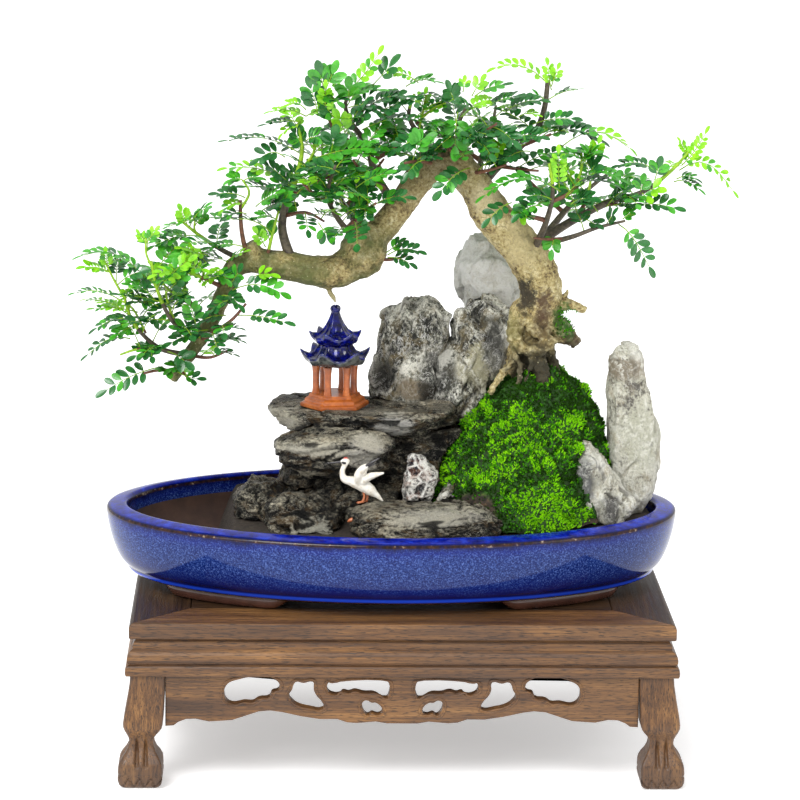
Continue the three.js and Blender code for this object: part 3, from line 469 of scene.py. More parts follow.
def mitredPiece(name, section, side):
    shape = standShape
    isLong = side in ("front", "back")
    halfLength = shape["halfWidth"] if isLong else shape["halfDepth"]
    halfAcross = shape["halfDepth"] if isLong else shape["halfWidth"]
    rings = []
    for step in range(9):
        share = step / 4 - 1
        ring = []
        for inward, z in section:
            along, across = share * (halfLength - inward), halfAcross - inward
            x, y = {"front": (along, -across), "back": (-along, across),
                    "right": (across, along), "left": (-across, -along)}[side]
            ring.append(at(x, shape["middleY"] + y, z))
        rings.append(ring)
    store = MeshStore()
    loftRings(store, rings)
    return eased(store.build(name, []), 40)


for side in ("front", "back", "left", "right"):
    along = 0 if side in ("front", "back") else 1
    for part, woods in (("rail", topWood), ("waist", woodAlong)):
        made = mitredPiece(part + "_" + side, standShape[part], side)
        dress(made, woods[along], ["stand_" + part + "_" + side], "stand_wood", False)
topPanel = nodes["stand_top_panel"]
topPanel.data.materials.clear()
topPanel.data.materials.append(panelWoodPaintedShade)
topPanel.modifiers.new("edges", "BEVEL").width = standShape["panelEdge"] / 1000

fretwork = {
    "edge": [(-184.5, 47.1), (-176.4, 47.5), (-172.7, 50.3), (-166.8, 52.6), (-159.5, 52.9),
        (-149.1, 50.7), (-131.4, 51.9), (-121.1, 55.4), (-110.8, 58.9), (-101.9, 59.7), (-93.1, 58.5),
        (-78.3, 55.2), (-63.5, 52.9), (-50.2, 53), (-42.8, 50.4), (-35.4, 49.8), (-20.6, 51.1),
        (-11.7, 49.6), (-1.6, 49.6)],
    "outer": [(-130, 83.5), (-97.6, 84), (-94.7, 79), (-96.1, 75.9), (-100.5, 74.4), (-102.7, 70.5),
        (-110.8, 68.9), (-115.2, 66.2), (-121.6, 66.3), (-131.5, 65), (-135.9, 68.1), (-137.4, 73.5),
        (-135.9, 79.6)],
    "middle": [(-82.2, 82.6), (-76.3, 81.8), (-69.6, 82.9), (-68.4, 81.4), (-68.5, 76.8), (-66.6, 72.2),
        (-62.1, 66.8), (-60.6, 63), (-61.3, 61.1), (-72.4, 61.7), (-79.8, 63.7), (-84.3, 66.7),
        (-87.5, 72.1), (-85.1, 76.7), (-84.3, 79.8)],
    "inner": [(-56.4, 82.7), (-51.9, 81.9), (-47.5, 83), (-12.1, 83.4), (-10.6, 81.6), (-10.8, 72.4),
        (-12.7, 69.8), (-22.3, 73.6), (-29.7, 73.8), (-37.1, 75.4), (-41.5, 74.1), (-46, 74.9),
        (-48.1, 73), (-54.8, 73.3), (-57.8, 76), (-58.2, 79.9)],
    "eye": [(-30.4, 66.9), (-27.4, 68), (-23.7, 66.2), (-20.7, 66.2), (-15.5, 60.8), (-16.2, 57.7),
        (-19.2, 56.5), (-23.6, 57.7), (-26.6, 56.2), (-28.8, 57.7), (-31.1, 63.1)],
    "round": 0.9, "thick": 10, "bead": 0.9, "beadOut": 2.3, "beadTop": 86.4, "top": 87.9, "inset": 0.3,
}


def closedCurve(data, points):
    spline = data.splines.new("BEZIER")
    spline.bezier_points.add(len(points) - 1)
    for knot, (x, z) in zip(spline.bezier_points, points):
        knot.co = (x / 1000, z / 1000, 0)
        knot.handle_left_type = knot.handle_right_type = "AUTO"
    spline.use_cyclic_u = True
    spline.resolution_u = 4


def apronPiece(name, halfLength, squeeze, shift, scrolls, turn, face):
    data = bpy.data.curves.new(name, "CURVE")
    data.dimensions, data.fill_mode = "2D", "BOTH"
    data.extrude = fretwork["thick"] / 2000 - fretwork["round"] / 1000
    data.bevel_depth, data.bevel_resolution = fretwork["round"] / 1000, 2
    data.offset = -fretwork["round"] / 1000
    board = data.splines.new("POLY")
    end, top = halfLength - fretwork["inset"], fretwork["top"]
    half = [(max(x * squeeze, -end), z) for x, z in fretwork["edge"]]
    outline = [(-end, top)] + half + [(-x, z) for x, z in reversed(half)] + [(end, top)]
    board.points.add(len(outline) - 1)
    for knot, (x, z) in zip(board.points, outline):
        knot.co = (x / 1000, z / 1000, 0, 1)
    board.use_cyclic_u = True
    rims = bpy.data.curves.new(name + "Rims", "CURVE")
    rims.dimensions, rims.bevel_depth, rims.bevel_resolution = "3D", fretwork["bead"] / 1000, 2
    for scroll in scrolls:
        for mirror in (1, -1):
            points = [(mirror * (x + shift), z) for x, z in fretwork[scroll]]
            closedCurve(data, points)
            middleX = sum(x for x, z in points) / len(points)
            middleZ = sum(z for x, z in points) / len(points)
            rim = []
            for x, z in points:
                away = Vector((x - middleX, z - middleZ))
                away = away.normalized() * fretwork["beadOut"]
                rim.append((x + away.x, min(z + away.y, fretwork["beadTop"])))
            closedCurve(rims, rim)
    parts = []
    for curve, depth in ((data, 0.0), (rims, fretwork["thick"] / 2000 - 0.0002)):
        made = newObject(curve.name, curve)
        graph = bpy.context.evaluated_depsgraph_get()
        mesh = bpy.data.meshes.new_from_object(made.evaluated_get(graph))
        mesh.transform(Matrix.Translation((0, 0, depth)))
        bpy.data.objects.remove(made)
        parts.append(mesh)
    joined = bmesh.new()
    for mesh in parts:
        joined.from_mesh(mesh)
    stand = Matrix.Rotation(math.pi / 2, 4, "X")  # the board's face towards -Y
    joined.transform(Matrix.Translation((0, fretwork["thick"] / 2000, 0)) @ stand)
    place = at(face[0], face[1], 0)
    joined.transform(Matrix.Translation(place) @ Matrix.Rotation(turn, 4, "Z"))
    mesh = bpy.data.meshes.new(name)
    joined.to_mesh(mesh)
    joined.free()
    return newObject(name, mesh)


longScrolls, shortScrolls = ["outer", "middle", "inner", "eye"], ["outer", "middle"]
apronPlan = {
    "front": (183, 1.0, 0, longScrolls, 0, (0, -150)),
    "back": (183, 1.0, 0, longScrolls, math.pi, (0, 118)),
    "right": (109, 0.592, 50, shortScrolls, math.pi / 2, (208, -16)),
    "left": (109, 0.592, 50, shortScrolls, -math.pi / 2, (-208, -16)),
}
for side, plan in apronPlan.items():
    made = apronPiece("apron_" + side, *plan)
    dress(made, woodAlong[0 if side in ("front", "back") else 1], ["stand_apron_" + side],
          "stand_wood", False)
print("stand top, waist and aprons")

legShape = {
    "levels": [(0, 5.6, 21.6), (1.2, 7.2, 23.4), (2.6, 8.4, 24.8), (7, 8.8, 25.8), (9.4, 8.6, 25.8),
        (10.2, 7.8, 25.0), (11.2, 8.7, 25.8), (16, 8.4, 25.6), (19, 7.8, 25.2), (23, 5.6, 23.4),
        (27, 2.8, 20.8), (31, 0.8, 19.2), (35, 0.0, 18.5), (38, 0.5, 19.0), (41, 1.8, 20.8),
        (44, 3.4, 23.2), (47, 4.5, 25.2), (50, 4.7, 25.9), (56, 3.9, 26.3), (68, 1.7, 26.9),
        (80, -0.2, 27.4), (88, -0.8, 27.5)],
    "grooves": (-12.8, -6.0), "grooveWidth": (2.3, 1.0), "grooveDepth": 4.0, "grooveSpan": (15.5, 41),
    "toes": 4, "toeDepth": 2.2, "toeTop": 9.4, "height": 88, "corner": 1.6, "outerCorner": 0.15,
    "cornerSteps": 5, "sideSteps": 26,
}


def legPiece(name, signX, signY):
    shape = legShape
    rings = []
    for z in range(shape["height"] + 1):
        k = max(i for i, level in enumerate(shape["levels"]) if level[0] <= z)
        k = min(k, len(shape["levels"]) - 2)
        (z0, o0, n0), (z1, o1, n1) = shape["levels"][k], shape["levels"][k + 1]
        t = (z - z0) / (z1 - z0)
        outer, inner = lerp(o0, o1, t), lerp(n0, n1, t)
        side, small, steps = outer + inner, shape["corner"], shape["cornerSteps"]
        # corner, radius, first angle, and the way to the corner's middle
        corners = [((outer, -inner), small, -90, (-1, 1)),
                   ((outer, outer), shape["outerCorner"] * side, 0, (-1, -1)),
                   ((-inner, outer), small, 90, (1, -1)), ((-inner, -inner), small, 180, (1, 1))]
        arcs = []
        for (x, y), radius, start, (wayX, wayY) in corners:
            middleX, middleY = x + wayX * radius, y + wayY * radius
            angles = [math.radians(start + 90 * step / steps) for step in range(steps + 1)]
            arcs.append([(middleX + radius * math.cos(a),
                          middleY + radius * math.sin(a)) for a in angles])
        ring, steps = [], shape["sideSteps"]
        for arc, following in zip(arcs, arcs[1:] + arcs[:1]):
            ring += [list(point) for point in arc]
            (fromX, fromY), (toX, toY) = arc[-1], following[0]
            ring += [[lerp(fromX, toX, step / steps), lerp(fromY, toY, step / steps)]
                     for step in range(1, steps)]
        low, high = shape["grooveSpan"]
        rise = (z - low) / (high - low)
        window = smoothstep(0.0, 0.12, rise) * (1 - smoothstep(0.55, 1.0, rise))
        width = lerp(*shape["grooveWidth"], min(max(rise, 0.0), 1.0))
        for point in ring:
            for axis, other in ((0, 1), (1, 0)):
                if point[axis] < outer - 0.5:
                    continue
                dip = 0.0
                for groove in shape["grooves"]:
                    near = abs(point[other] - groove) / width
                    dip = max(dip, (1 - near) * shape["grooveDepth"] * window)
                if z < shape["toeTop"]:
                    share = (point[other] + inner) / side * shape["toes"]
                    zigzag = abs((share % 1.0) - 0.5) * 2
                    near = abs(z / shape["toeTop"] - 0.12 - zigzag * 0.72)
                    dip = max(dip, (0.2 - near) / 0.2 * shape["toeDepth"])
                point[axis] -= max(dip, 0)
        farX, farY, middleY = (standShape[key] for key in ("halfWidth", "halfDepth", "middleY"))
        rings.append([at(signX * (farX + x), middleY + signY * (farY + y), z) for x, y in ring])
    store = MeshStore()
    loftRings(store, rings)
    return store.build(name, [])


for depth, signY in (("front", -1), ("back", 1)):
    for hand, signX in (("left", -1), ("right", 1)):
        corner = depth + "_" + hand
        dress(legPiece("leg_" + corner, signX, signY), woodAlong[2],
              ["stand_leg_" + corner], "stand_wood")
print("legs")

# Pot
potShape = {
    "middle": (-6, -16), "half": (228, 134), "top": 129.5, "segments": 224,
    "section": [(22.5, 9), (19.5, 10.5), (17.9, 11.2), (17.0, 12.2), (16.3, 13.4), (16.0, 14.5),
        (15.6, 15.6), (14.6, 16.4), (12.9, 18.1), (10.8, 20.5), (8.6, 24.6), (6.7, 29), (4.9, 34),
        (3.4, 39), (2.2, 44), (1.2, 49), (0.5, 53.5), (0.05, 57.5), (0.0, 59.6), (0.35, 60.9),
        (1.3, 61.9), (3.4, 62.6), (8, 63.5), (12.6, 64.2), (14.3, 64.3), (15.5, 63.8), (16.4, 62.6),
        (17, 60.6), (17.6, 56), (18.3, 50), (19.4, 44), (22, 37.5), (27.5, 31.5), (35, 26), (44, 22.6),
        (60, 21.6), (90, 21.4)],
    "feet": [(206, 247), (293, 334), (26, 67), (113, 154)], "footSteps": 26, "footTop": 11.4,
    "footRise": 9.2,
    "footSection": [(24.6, 11.4), (24.9, 5), (26, 1.4), (28, 0.3), (34, 0.05), (40, 0.4), (43, 1.8),
        (45.6, 6), (46.4, 11.4)],
}


def potPoint(inward, z, angle):
    shape = potShape
    return at(shape["middle"][0] + (shape["half"][0] - inward) * math.cos(angle),
              shape["middle"][1] + (shape["half"][1] - inward) * math.sin(angle), shape["top"] + z)


def potFinish():
    glaze = Finish("cobaltGlaze", 0.08, Coat_Weight=0.05, Coat_Roughness=0.04, Specular_IOR_Level=0.24)
    z = glaze.along()
    wander = glaze.times(glaze.less(glaze.cloud(38, 4), 0.5), 0.010)
    run = glaze.times(glaze.less(glaze.cloud(1, 3, place=glaze.stretched(260, 260, 18)), 0.5), 0.006)
    level = glaze.plus(glaze.plus(z, wander), run)
    share = glaze.span(level, 0.1415, 0.1925)
    bands = glaze.ramp(share, [
        (0.0, (0.001, 0.003, 0.060)), (0.12, (0.001, 0.005, 0.095)), (0.30, (0.002, 0.012, 0.115)),
        (0.52, (0.004, 0.020, 0.130)), (0.74, (0.004, 0.019, 0.140)), (0.85, (0.002, 0.012, 0.160)),
        (0.93, (0.001, 0.003, 0.055)), (1.0, (0.001, 0.001, 0.02))])
    speck = glaze.cloud(820, 4, 0.8)
    middle = glaze.ramp(share, [(0.10, 0.0), (0.40, 1.0), (0.80, 1.0), (0.93, 0.1)])
    light = glaze.times(glaze.span(speck, 0.51, 0.64), middle)
    colour = glaze.mix(glaze.times(light, 0.95), bands, (0.085, 0.15, 0.42))
    dark = glaze.times(glaze.span(speck, 0.49, 0.38), glaze.span(middle, 0.0, 1.0, 0.35, 0.9))
    colour = glaze.mix(dark, colour, (0.001, 0.003, 0.050))
    # the glaze breaks to brown on the lip's outside edge, and again where it ends low down
    nearLip = glaze.plus(z, glaze.times(wander, 0.12))
    lip = glaze.ramp(glaze.span(nearLip, 0.1883, 0.1917),
                     [(0.0, 0.0), (0.30, 1.0), (0.66, 1.0), (0.90, 0.0)])
    broken = glaze.span(glaze.cloud(90, 5, 0.7), 0.30, 0.52)
    brown = glaze.ramp(glaze.cloud(230, 4), [(0.38, (0.012, 0.006, 0.006)), (0.60, (0.05, 0.022, 0.014)),
                                             (0.72, (0.42, 0.33, 0.24))])
    colour = glaze.mix(glaze.times(lip, broken), colour, brown)
    top = glaze.span(z, 0.1912, 0.1922)
    rimBlue = glaze.ramp(glaze.cloud(110, 6, 0.7), [(0.32, (0.001, 0.003, 0.080)),
                                                    (0.5, (0.003, 0.010, 0.26)),
                                                    (0.70, (0.010, 0.045, 0.52))])
    colour = glaze.mix(top, colour, rimBlue)
    bead = glaze.ramp(glaze.span(z, 0.1405, 0.1445), [(0.0, 0.0), (0.3, 1.0), (0.7, 0.8), (1.0, 0.0)])
    colour = glaze.mix(glaze.times(bead, 0.85), colour, (0.010, 0.06, 0.60))
    low = glaze.span(nearLip, 0.1412, 0.1404)
    colour = glaze.mix(low, colour, (0.016, 0.010, 0.009))
    normal = glaze.bump(glaze.cloud(90, 3), 0.06, 0.001, glaze.bump(speck, 0.03, 0.0002))
    return glaze.finish(colour, normal)


def clayFinish(name, dark, light, rough, coat=0.0):
    clay = Finish(name, rough, Coat_Weight=coat, Coat_Roughness=0.12)
    patch = clay.cloud(45, 6, 0.62)
    colour = clay.ramp(patch, [(0.3, dark), (0.7, light)])
    grit = clay.cloud(1400, 3)
    normal = clay.bump(grit, 0.25, 0.0003, clay.bump(clay.cloud(120, 4), 0.3, 0.0012))
    return clay.finish(colour, normal)


def addPot():
    shape = potShape
    store = MeshStore()
    angles = [2 * math.pi * k / shape["segments"] for k in range(shape["segments"])]
    rings = [[potPoint(inward, z, angle) for angle in angles] for inward, z in shape["section"]]
    loftRings(store, rings)
    insideStart = shape["section"].index((17, 60.6))
    for index in range(len(store.faces) - 2):
        level = index // shape["segments"]
        inside = level >= insideStart + 2
        under = level < 2
        store.slots[index] = 1 if inside else 2 if under else 0
    store.slots[-2], store.slots[-1] = 2, 1
    for start, end in shape["feet"]:
        rings, steps = [], shape["footSteps"]
        for s in range(steps + 1):
            share = s / steps
            angle = math.radians(lerp(start, end, share))
            edge = min(share, 1 - share)
            rise = shape["footRise"] * (1 - smoothstep(0.0, 0.16, edge)) ** 1.5
            ring = []
            for inward, z in shape["footSection"]:
                ring.append(potPoint(inward, z + rise * (1 - z / shape["footTop"]), angle))
            rings.append(ring)
        loftRings(store, rings, 2)
    rim = clayFinish("insideClay", (0.030, 0.014, 0.010), (0.075, 0.036, 0.024), 0.75)
    feet = clayFinish("footClay", (0.045, 0.016, 0.010), (0.11, 0.042, 0.028), 0.24, 0.6)
    made = store.build("tray", [potFinish(), rim, feet])
    return dress(made, None, ["pot"], "pot_glaze")


addPot()
print("pot")

# Soil
soilLook = {"dark": (0.013, 0.009, 0.006), "light": (0.048, 0.034, 0.024), "voxel": 3.2, "lift": 0.7}


def addSoil():
    made = copyNode("soil_bed", "soil")
    remeshed(made, soilLook["voxel"], 0.4, 2)

    def shift(place, normal):
        if normal.z < 0.4:
            return 0.0
        p = place * 1000
        return (noise.noise(p / 14) * 0.9 + noise.noise(p / 4) * 0.45 - 0.5) * soilLook["lift"] / 1000

    shapeBy(made, shift)
    soil = Finish("darkSoil", 0.9)
    colour = soil.ramp(soil.cloud(260, 7, 0.7), [(0.34, soilLook["dark"]), (0.62, soilLook["light"]),
                                                 (0.8, (0.16, 0.13, 0.10))])
    normal = soil.bump(soil.cloud(900, 5, 0.7), 0.9, 0.0012)
    dress(made, soil.finish(colour, normal), ["soil_bed"], "soil")


addSoil()
print("soil")

# Stones
stoneTones = {
    "dark": {"base": (0.006, 0.006, 0.006), "mid": (0.034, 0.033, 0.029), "light": (0.56, 0.51, 0.38),
        "stain": (0.13, 0.078, 0.030), "vein": (0.86, 0.81, 0.66), "veins": 0.32, "paintedEdgeLight": 0.45,
        "roughness": 0.34, "gloss": 0.22, "sharp": 0.085, "shift": -0.068},
    "grey": {"base": (0.022, 0.022, 0.019), "mid": (0.25, 0.245, 0.195), "light": (0.88, 0.86, 0.76),
        "stain": (0.27, 0.21, 0.10), "vein": (0.88, 0.87, 0.82), "veins": 1.0, "paintedEdgeLight": 0.85,
        "roughness": 0.5, "gloss": 0.3, "sharp": 0.085, "shift": 0.0},
    # pale: a light grey stone, its tones raised nearly to white as painted light against the canopy's
    # shade
    "pale": {"base": (0.62, 0.62, 0.57), "mid": (0.90, 0.90, 0.84), "light": (0.95, 0.945, 0.91),
        "stain": (0.62, 0.58, 0.47), "vein": (0.93, 0.93, 0.91), "veins": 0.3, "paintedEdgeLight": 0.85,
        "roughness": 0.75, "gloss": 0.5, "sharp": 0.14, "shift": 0.02},
    "cream": {"base": (0.13, 0.12, 0.10), "mid": (0.60, 0.585, 0.47), "light": (0.86, 0.85, 0.76),
        "stain": (0.38, 0.31, 0.18), "vein": (0.92, 0.91, 0.86), "veins": 0.6, "paintedEdgeLight": 0.85,
        "roughness": 0.7, "gloss": 0.4, "sharp": 0.12, "shift": 0.02},
    "marbled": {"base": (0.004, 0.006, 0.014), "mid": (0.20, 0.19, 0.17), "light": (0.90, 0.87, 0.79),
        "stain": (0.30, 0.11, 0.045), "seams": 1.4, "vein": (0.94, 0.92, 0.86), "veins": 0.6,
        "paintedEdgeLight": 0.5, "roughness": 0.4, "gloss": 0.3, "sharp": 0.05, "shift": -0.01},
}
# grain: the size of the broken blocks along X, Y and Z. furrow: its ribs' width, length, direction
# and depth. dusty: how pale its upward faces are, as dust and wear and as painted light from above.
# patches: middle, reach and colour of a stain; the near-black ones between stones and in creases are
# painted shade.
# swell: middle, reach and amount of a fuller place. All in mm.
darkStone = {"tone": "dark", "furrow": (8, 26, "X", 0.8), "crack": 2.8, "open": 0.9, "broad": 2.0}
upright = {"tone": "grey", "furrow": (13, 44, "Z", 3.0), "crack": 1.6, "open": 0.5, "broad": 2.6}
stones = {
    "lying_left": {**darkStone, "grain": (26, 24, 14), "step": 1.6, "dustAndTopLight": 0.1},
    "front_low": {**darkStone, "grain": (28, 24, 15), "step": 1.7, "dustAndTopLight": 0.15,
        "patches": [((-68, -96, 188), (16, 16, 12), (0.42, 0.41, 0.34))]},
    "front_slab": {**darkStone, "grain": (44, 30, 11), "step": 1.4, "dustAndTopLight": 0.35,
        "patches": [((30, -104, 202), (36, 26, 7), (0.44, 0.42, 0.35))]},
    "back_low": {**darkStone, "grain": (26, 24, 15), "step": 1.6, "dustAndTopLight": 0.2},
    "wall": {**darkStone, "voxel": 1.9, "grain": (34, 28, 15), "broad": 2.4, "step": 2.8, "dustAndTopLight": 0.1},
    "veined": {"tone": "marbled", "furrow": (6, 12, "X", 0.9), "grain": (17, 17, 13), "broad": 1.4,
        "step": 1.2, "crack": 1.2, "open": 0.2, "dustAndTopLight": 0.1},
    "grey_small": {**upright, "furrow": (6, 20, "Z", 1.2), "grain": (16, 16, 13), "broad": 1.6,
        "step": 1.2, "dustAndTopLight": 0.3},
    "middle": {**darkStone, "grain": (46, 34, 15), "broad": 2.4, "step": 2.0, "dustAndTopLight": 0.35,
        "patches": [((-64, -58, 246), (36, 34, 5), (0.56, 0.53, 0.43)),
        ((-84, -66, 224), (26, 28, 5), (0.66, 0.60, 0.45)),
        ((-30, -62, 244), (14, 20, 12), (0.44, 0.42, 0.37))]},
    "ledge": {**darkStone, "grain": (52, 36, 9), "step": 1.5, "dustAndTopLight": 0.2,
        "patches": [((-94, -20, 263), (20, 40, 8), (0.46, 0.43, 0.34)),
        ((-6, -50, 262), (14, 20, 9), (0.40, 0.39, 0.36))]},
    "upright_left": {**upright, "grain": (26, 26, 44), "step": 1.2, "dustAndTopLight": 0.5,
        "patches": [((14, 0, 282), (18, 30, 8), (0.26, 0.20, 0.12)),
        ((10, -20, 335), (16, 20, 14), (0.80, 0.79, 0.72)),
        # these two near-black patches are painted shade where the stone meets its neighbours
        ((-14, -10, 290), (12, 30, 22), (0.035, 0.034, 0.030)),
        ((27, -8, 288), (12, 30, 26), (0.03, 0.03, 0.026))],
        "swell": [((18, 0, 280), (18, 60, 34), 11.0), ((32, 0, 318), (12, 60, 24), 5.0)]},
    "upright_right": {**upright, "grain": (28, 28, 44), "step": 1.2, "dustAndTopLight": 0.5,
        "patches": [((62, -10, 300), (16, 30, 24), (0.46, 0.43, 0.28)),
        ((50, -20, 278), (14, 20, 18), (0.80, 0.78, 0.69)),
        # these two dark patches are painted shade beside the trunk and in the gap to the left upright
        ((74, 0, 318), (9, 30, 22), (0.10, 0.10, 0.09)),
        ((34, -10, 284), (10, 30, 36), (0.04, 0.04, 0.035))],
        "swell": [((33, 0, 292), (16, 70, 60), 11.0), ((44, 0, 336), (12, 60, 18), 4.0)]},
    "peak": {"tone": "pale", "voxel": 1.7, "furrow": (12, 26, "Z", 1.2), "grain": (26, 26, 30),
        "broad": 2.4, "step": 1.1, "crack": 1.0, "open": 0.2, "dustAndTopLight": 0.6},
    "pillar": {"tone": "cream", "furrow": (10, 32, "Z", 1.0), "grain": (28, 28, 40), "broad": 2.2,
        "step": 1.0, "crack": 1.0, "open": 0.15, "dustAndTopLight": 0.5,
        "patches": [((172, -15, 304), (24, 30, 10), (0.26, 0.21, 0.14)),
        ((190, -15, 250), (18, 30, 30), (0.52, 0.52, 0.40))],
        "swell": [((175, -15, 314), (26, 26, 17), 4.2), ((176, -15, 290), (30, 30, 10), -0.8),
        ((160, -15, 262), (13, 40, 34), -2.6)]},
    "small_right": {"tone": "cream", "furrow": (8, 24, "Z", 2.0), "grain": (18, 18, 24), "broad": 1.8,
        "step": 1.3, "crack": 1.6, "open": 0.6, "dustAndTopLight": 0.3,
        "swell": [((146, -66, 232), (16, 30, 24), 6.5), ((144, -70, 206), (12, 30, 20), 6.0),
        ((180, -62, 206), (10, 20, 14), 3.0)],
        # these two dark patches are painted shade in the creases between its swells
        "patches": [((145, -60, 222), (7, 24, 18), (0.07, 0.075, 0.085)),
        ((166, -60, 198), (7, 20, 14), (0.05, 0.05, 0.055))]},
}
stoneVoxel = 1.3


def farFrom(finish, middle, reach):  # 0 in a patch's middle, 1 on its edge
    away = finish.vector("SUBTRACT", finish.objectPlace, tuple(at(*middle)))
    scaled = finish.vector("MULTIPLY", away, tuple(1000 / r for r in reach))
    return finish.node("VectorMath", {0: scaled}, operation="LENGTH").outputs["Value"]


def farness(where, middle, reach):  # the same for a point, 0 in the middle and 1 on the edge
    away = (where - at(*middle)) * 1000
    return Vector((away.x / reach[0], away.y / reach[1], away.z / reach[2])).length


def stoneFinish(name, setup):
    tone = stoneTones[setup["tone"]]
    stone = Finish(name, tone["roughness"], Specular_IOR_Level=tone["gloss"])
    stretch = stone.stretched(*(1300 / (0.45 * g + 9) for g in setup["grain"]))
    broad = stone.cloud(1.0, 8, 0.62, 0.6, stretch)
    fine = stone.cloud(7.0, 8, 0.72, 0.3, stretch)
    grit = stone.cloud(700, 5, 0.7)
    blend = stone.halves(broad, fine)
    facet = stone.field("facet")
    blend = stone.plus(blend, stone.times(facet, 0.05))
    middle, sharp = 0.5 - tone["shift"], tone["sharp"]
    colour = stone.ramp(stone.span(blend, middle - sharp, middle + sharp),
                        [(0.10, tone["base"]), (0.5, tone["mid"]), (0.98, tone["light"])])
    if "seams" in tone:
        seam = stone.plus(stone.cells(tone["seams"], "DISTANCE_TO_EDGE", stretch), stone.times(fine, 0.5))
        colour = stone.mix(stone.span(seam, 0.37, 0.32), colour, tone["vein"])
    stain = stone.span(stone.cloud(1.3, 5, 0.6, 1.2, stretch), 0.50, 0.66)
    colour = stone.mix(stone.times(stain, 0.6), colour, tone["stain"])
    grained = stone.times(stone.less(blend, 0.5), 7.0)
    for middle, reach, patchColour in setup.get("patches", []):
        ragged = stone.less(farFrom(stone, middle, reach), stone.times(grained, 0.45))
        colour = stone.mix(stone.span(ragged, 1.2, 0.75, 0.0, 0.85), colour, patchColour)
    # pale where the stone faces up: dust and wear, and painted light from above
    upward = stone.upward()
    wornAndTopLit = stone.span(stone.plus(upward, grained), 0.55, 1.15, 0.0, setup["dustAndTopLight"])
    colour = stone.mix(wornAndTopLit, colour, tone["light"])
    # white veins where a warped field passes through its middle
    warp = stone.cloud(1.4, 5, 0.6, 2.2, stretch)
    line = stone.maths("ABSOLUTE", stone.less(warp, 0.5))
    width = stone.span(stone.cloud(0.8, 3, 0.5, 0.0, stretch), 0.42, 0.62, 0.001, 0.03 * tone["veins"])
    vein = stone.maths("SUBTRACT", 1.0, stone.maths("DIVIDE", line, width, True), True)
    colour = stone.mix(stone.times(vein, 0.85), colour, tone["vein"])
    colour = stone.mix(stone.span(grit, 0.50, 0.36, 0.0, 0.35), colour, tone["base"])
    # painted highlight on raised edges and rib crests, and painted shade, nearly black, in the cracks and
    # the furrows' hollows
    rim = stone.field("rim")
    paintedEdgeLight = stone.times(rim, stone.span(fine, 0.46, 0.60))
    colour = stone.mix(stone.times(paintedEdgeLight, tone["paintedEdgeLight"]), colour, tone["light"])
    crack = stone.field("crack")
    colour = stone.mix(stone.span(crack, 0.15, 0.9, 0.0, setup["open"]), colour,
                       tuple(c * 0.4 for c in tone["base"]))
    normal = stone.bump(fine, 1.0, 0.0034, stone.bump(grit, 0.5, 0.0009))
    return stone.finish(colour, normal)


def addStone(name, setup, place):
    made = copyNode("stone_" + name, "stone_" + name + "_worn")
    remeshed(made, setup.get("voxel", stoneVoxel), 0.5, 5)
    grain = Vector(setup["grain"])
    offset = Vector((place * 7.3, place * 3.1, place * 5.7))
    ribWide, ribLong, ribWay, ribDeep = setup["furrow"]
    ribs = Vector((ribLong if ribWay == "X" else ribWide, ribWide, ribLong if ribWay == "Z" else ribWide))
    fields = {"crack": [], "rim": [], "facet": []}

    def broken(q):  # a block's own lift, the crack around it and the pale rim beside the crack
        near, sites = noise.voronoi(q)
        gap = near[1] - near[0]
        site = sites[0]
        lift = math.sin(site.x * 127.1 + site.y * 311.7 + site.z * 74.7)
        lean = Vector((math.sin(site.y * 91.3), math.sin(site.z * 57.9), math.sin(site.x * 83.1)))
        lift += 1.2 * lean.dot(q - site)
        rim = smoothstep(0.06, 0.12, gap) * (1 - smoothstep(0.12, 0.30, gap))
        return lift, 1 - smoothstep(0.02, 0.09, gap), rim

    def shift(where, normal):
        p = where * 1000
        q = Vector((p.x / grain.x, p.y / grain.y, p.z / grain.z)) + offset
        bent = q + noise.noise_vector(q * 1.1) * 0.5 + noise.noise_vector(q * 4.3) * 0.09
        lift, crack, rim = broken(bent)
        smallLift, smallCrack, smallRim = broken(bent * 2.6 + Vector((3, 8, 5)))
        open = smoothstep(0.0, 0.3, noise.noise(q * 1.3 + Vector((4, 4, 4))))
        smallOpen = smoothstep(0.1, 0.4, noise.noise(q * 2.1 + Vector((9, 1, 6))))
        crack *= 0.15 + 0.85 * open
        smallCrack *= smallOpen
        r = Vector((p.x / ribs.x, p.y / ribs.y, p.z / ribs.z)) + offset
        rib = 0.35 - abs(noise.noise(r)) * 2.2 + 0.35 * noise.noise(r * 2.3)
        deep, high = smoothstep(0.62, 0.98, -rib), smoothstep(0.12, 0.36, rib)
        # painted shade in the cracks and furrow hollows, painted highlight on rims and rib crests, read
        # by the finish
        fields["crack"].append(min(1.0, crack + 0.7 * smallCrack + 0.9 * deep))
        fields["rim"].append(min(1.0, max(rim * open, 0.8 * smallRim * smallOpen) + 0.7 * high))
        fields["facet"].append(max(-1.0, min(1.0, lift * 0.7 + smallLift * 0.4)))
        total = noise.noise(q * 1.2) * setup["broad"] + lift * setup["step"] - crack * setup["crack"]
        small = smallLift * 0.3 * setup["step"] - smallCrack * 0.4 * setup["crack"]
        total += rib * ribDeep + small + noise.noise(q * 9) * 0.3
        total = max(min(total, 2.4), -5.5)
        for middle, reach, amount in setup.get("swell", []):
            total += amount * (1 - smoothstep(0.4, 1.0, farness(where, middle, reach)))
        return total / 1000

    shapeBy(made, shift)
    for key, values in fields.items():
        made.data.attributes.new(key, "FLOAT", "POINT").data.foreach_set("value", values)
    slots = {"dark": "stone_dark", "grey": "stone_grey", "marbled": "stone_grey"}
    slot = slots.get(setup["tone"], "stone_pale")
    dress(made, stoneFinish(name + "Stone", setup), ["stone_" + name], slot)


for place, (name, setup) in enumerate(stones.items()):
    addStone(name, setup, place + 1)
print("stones")

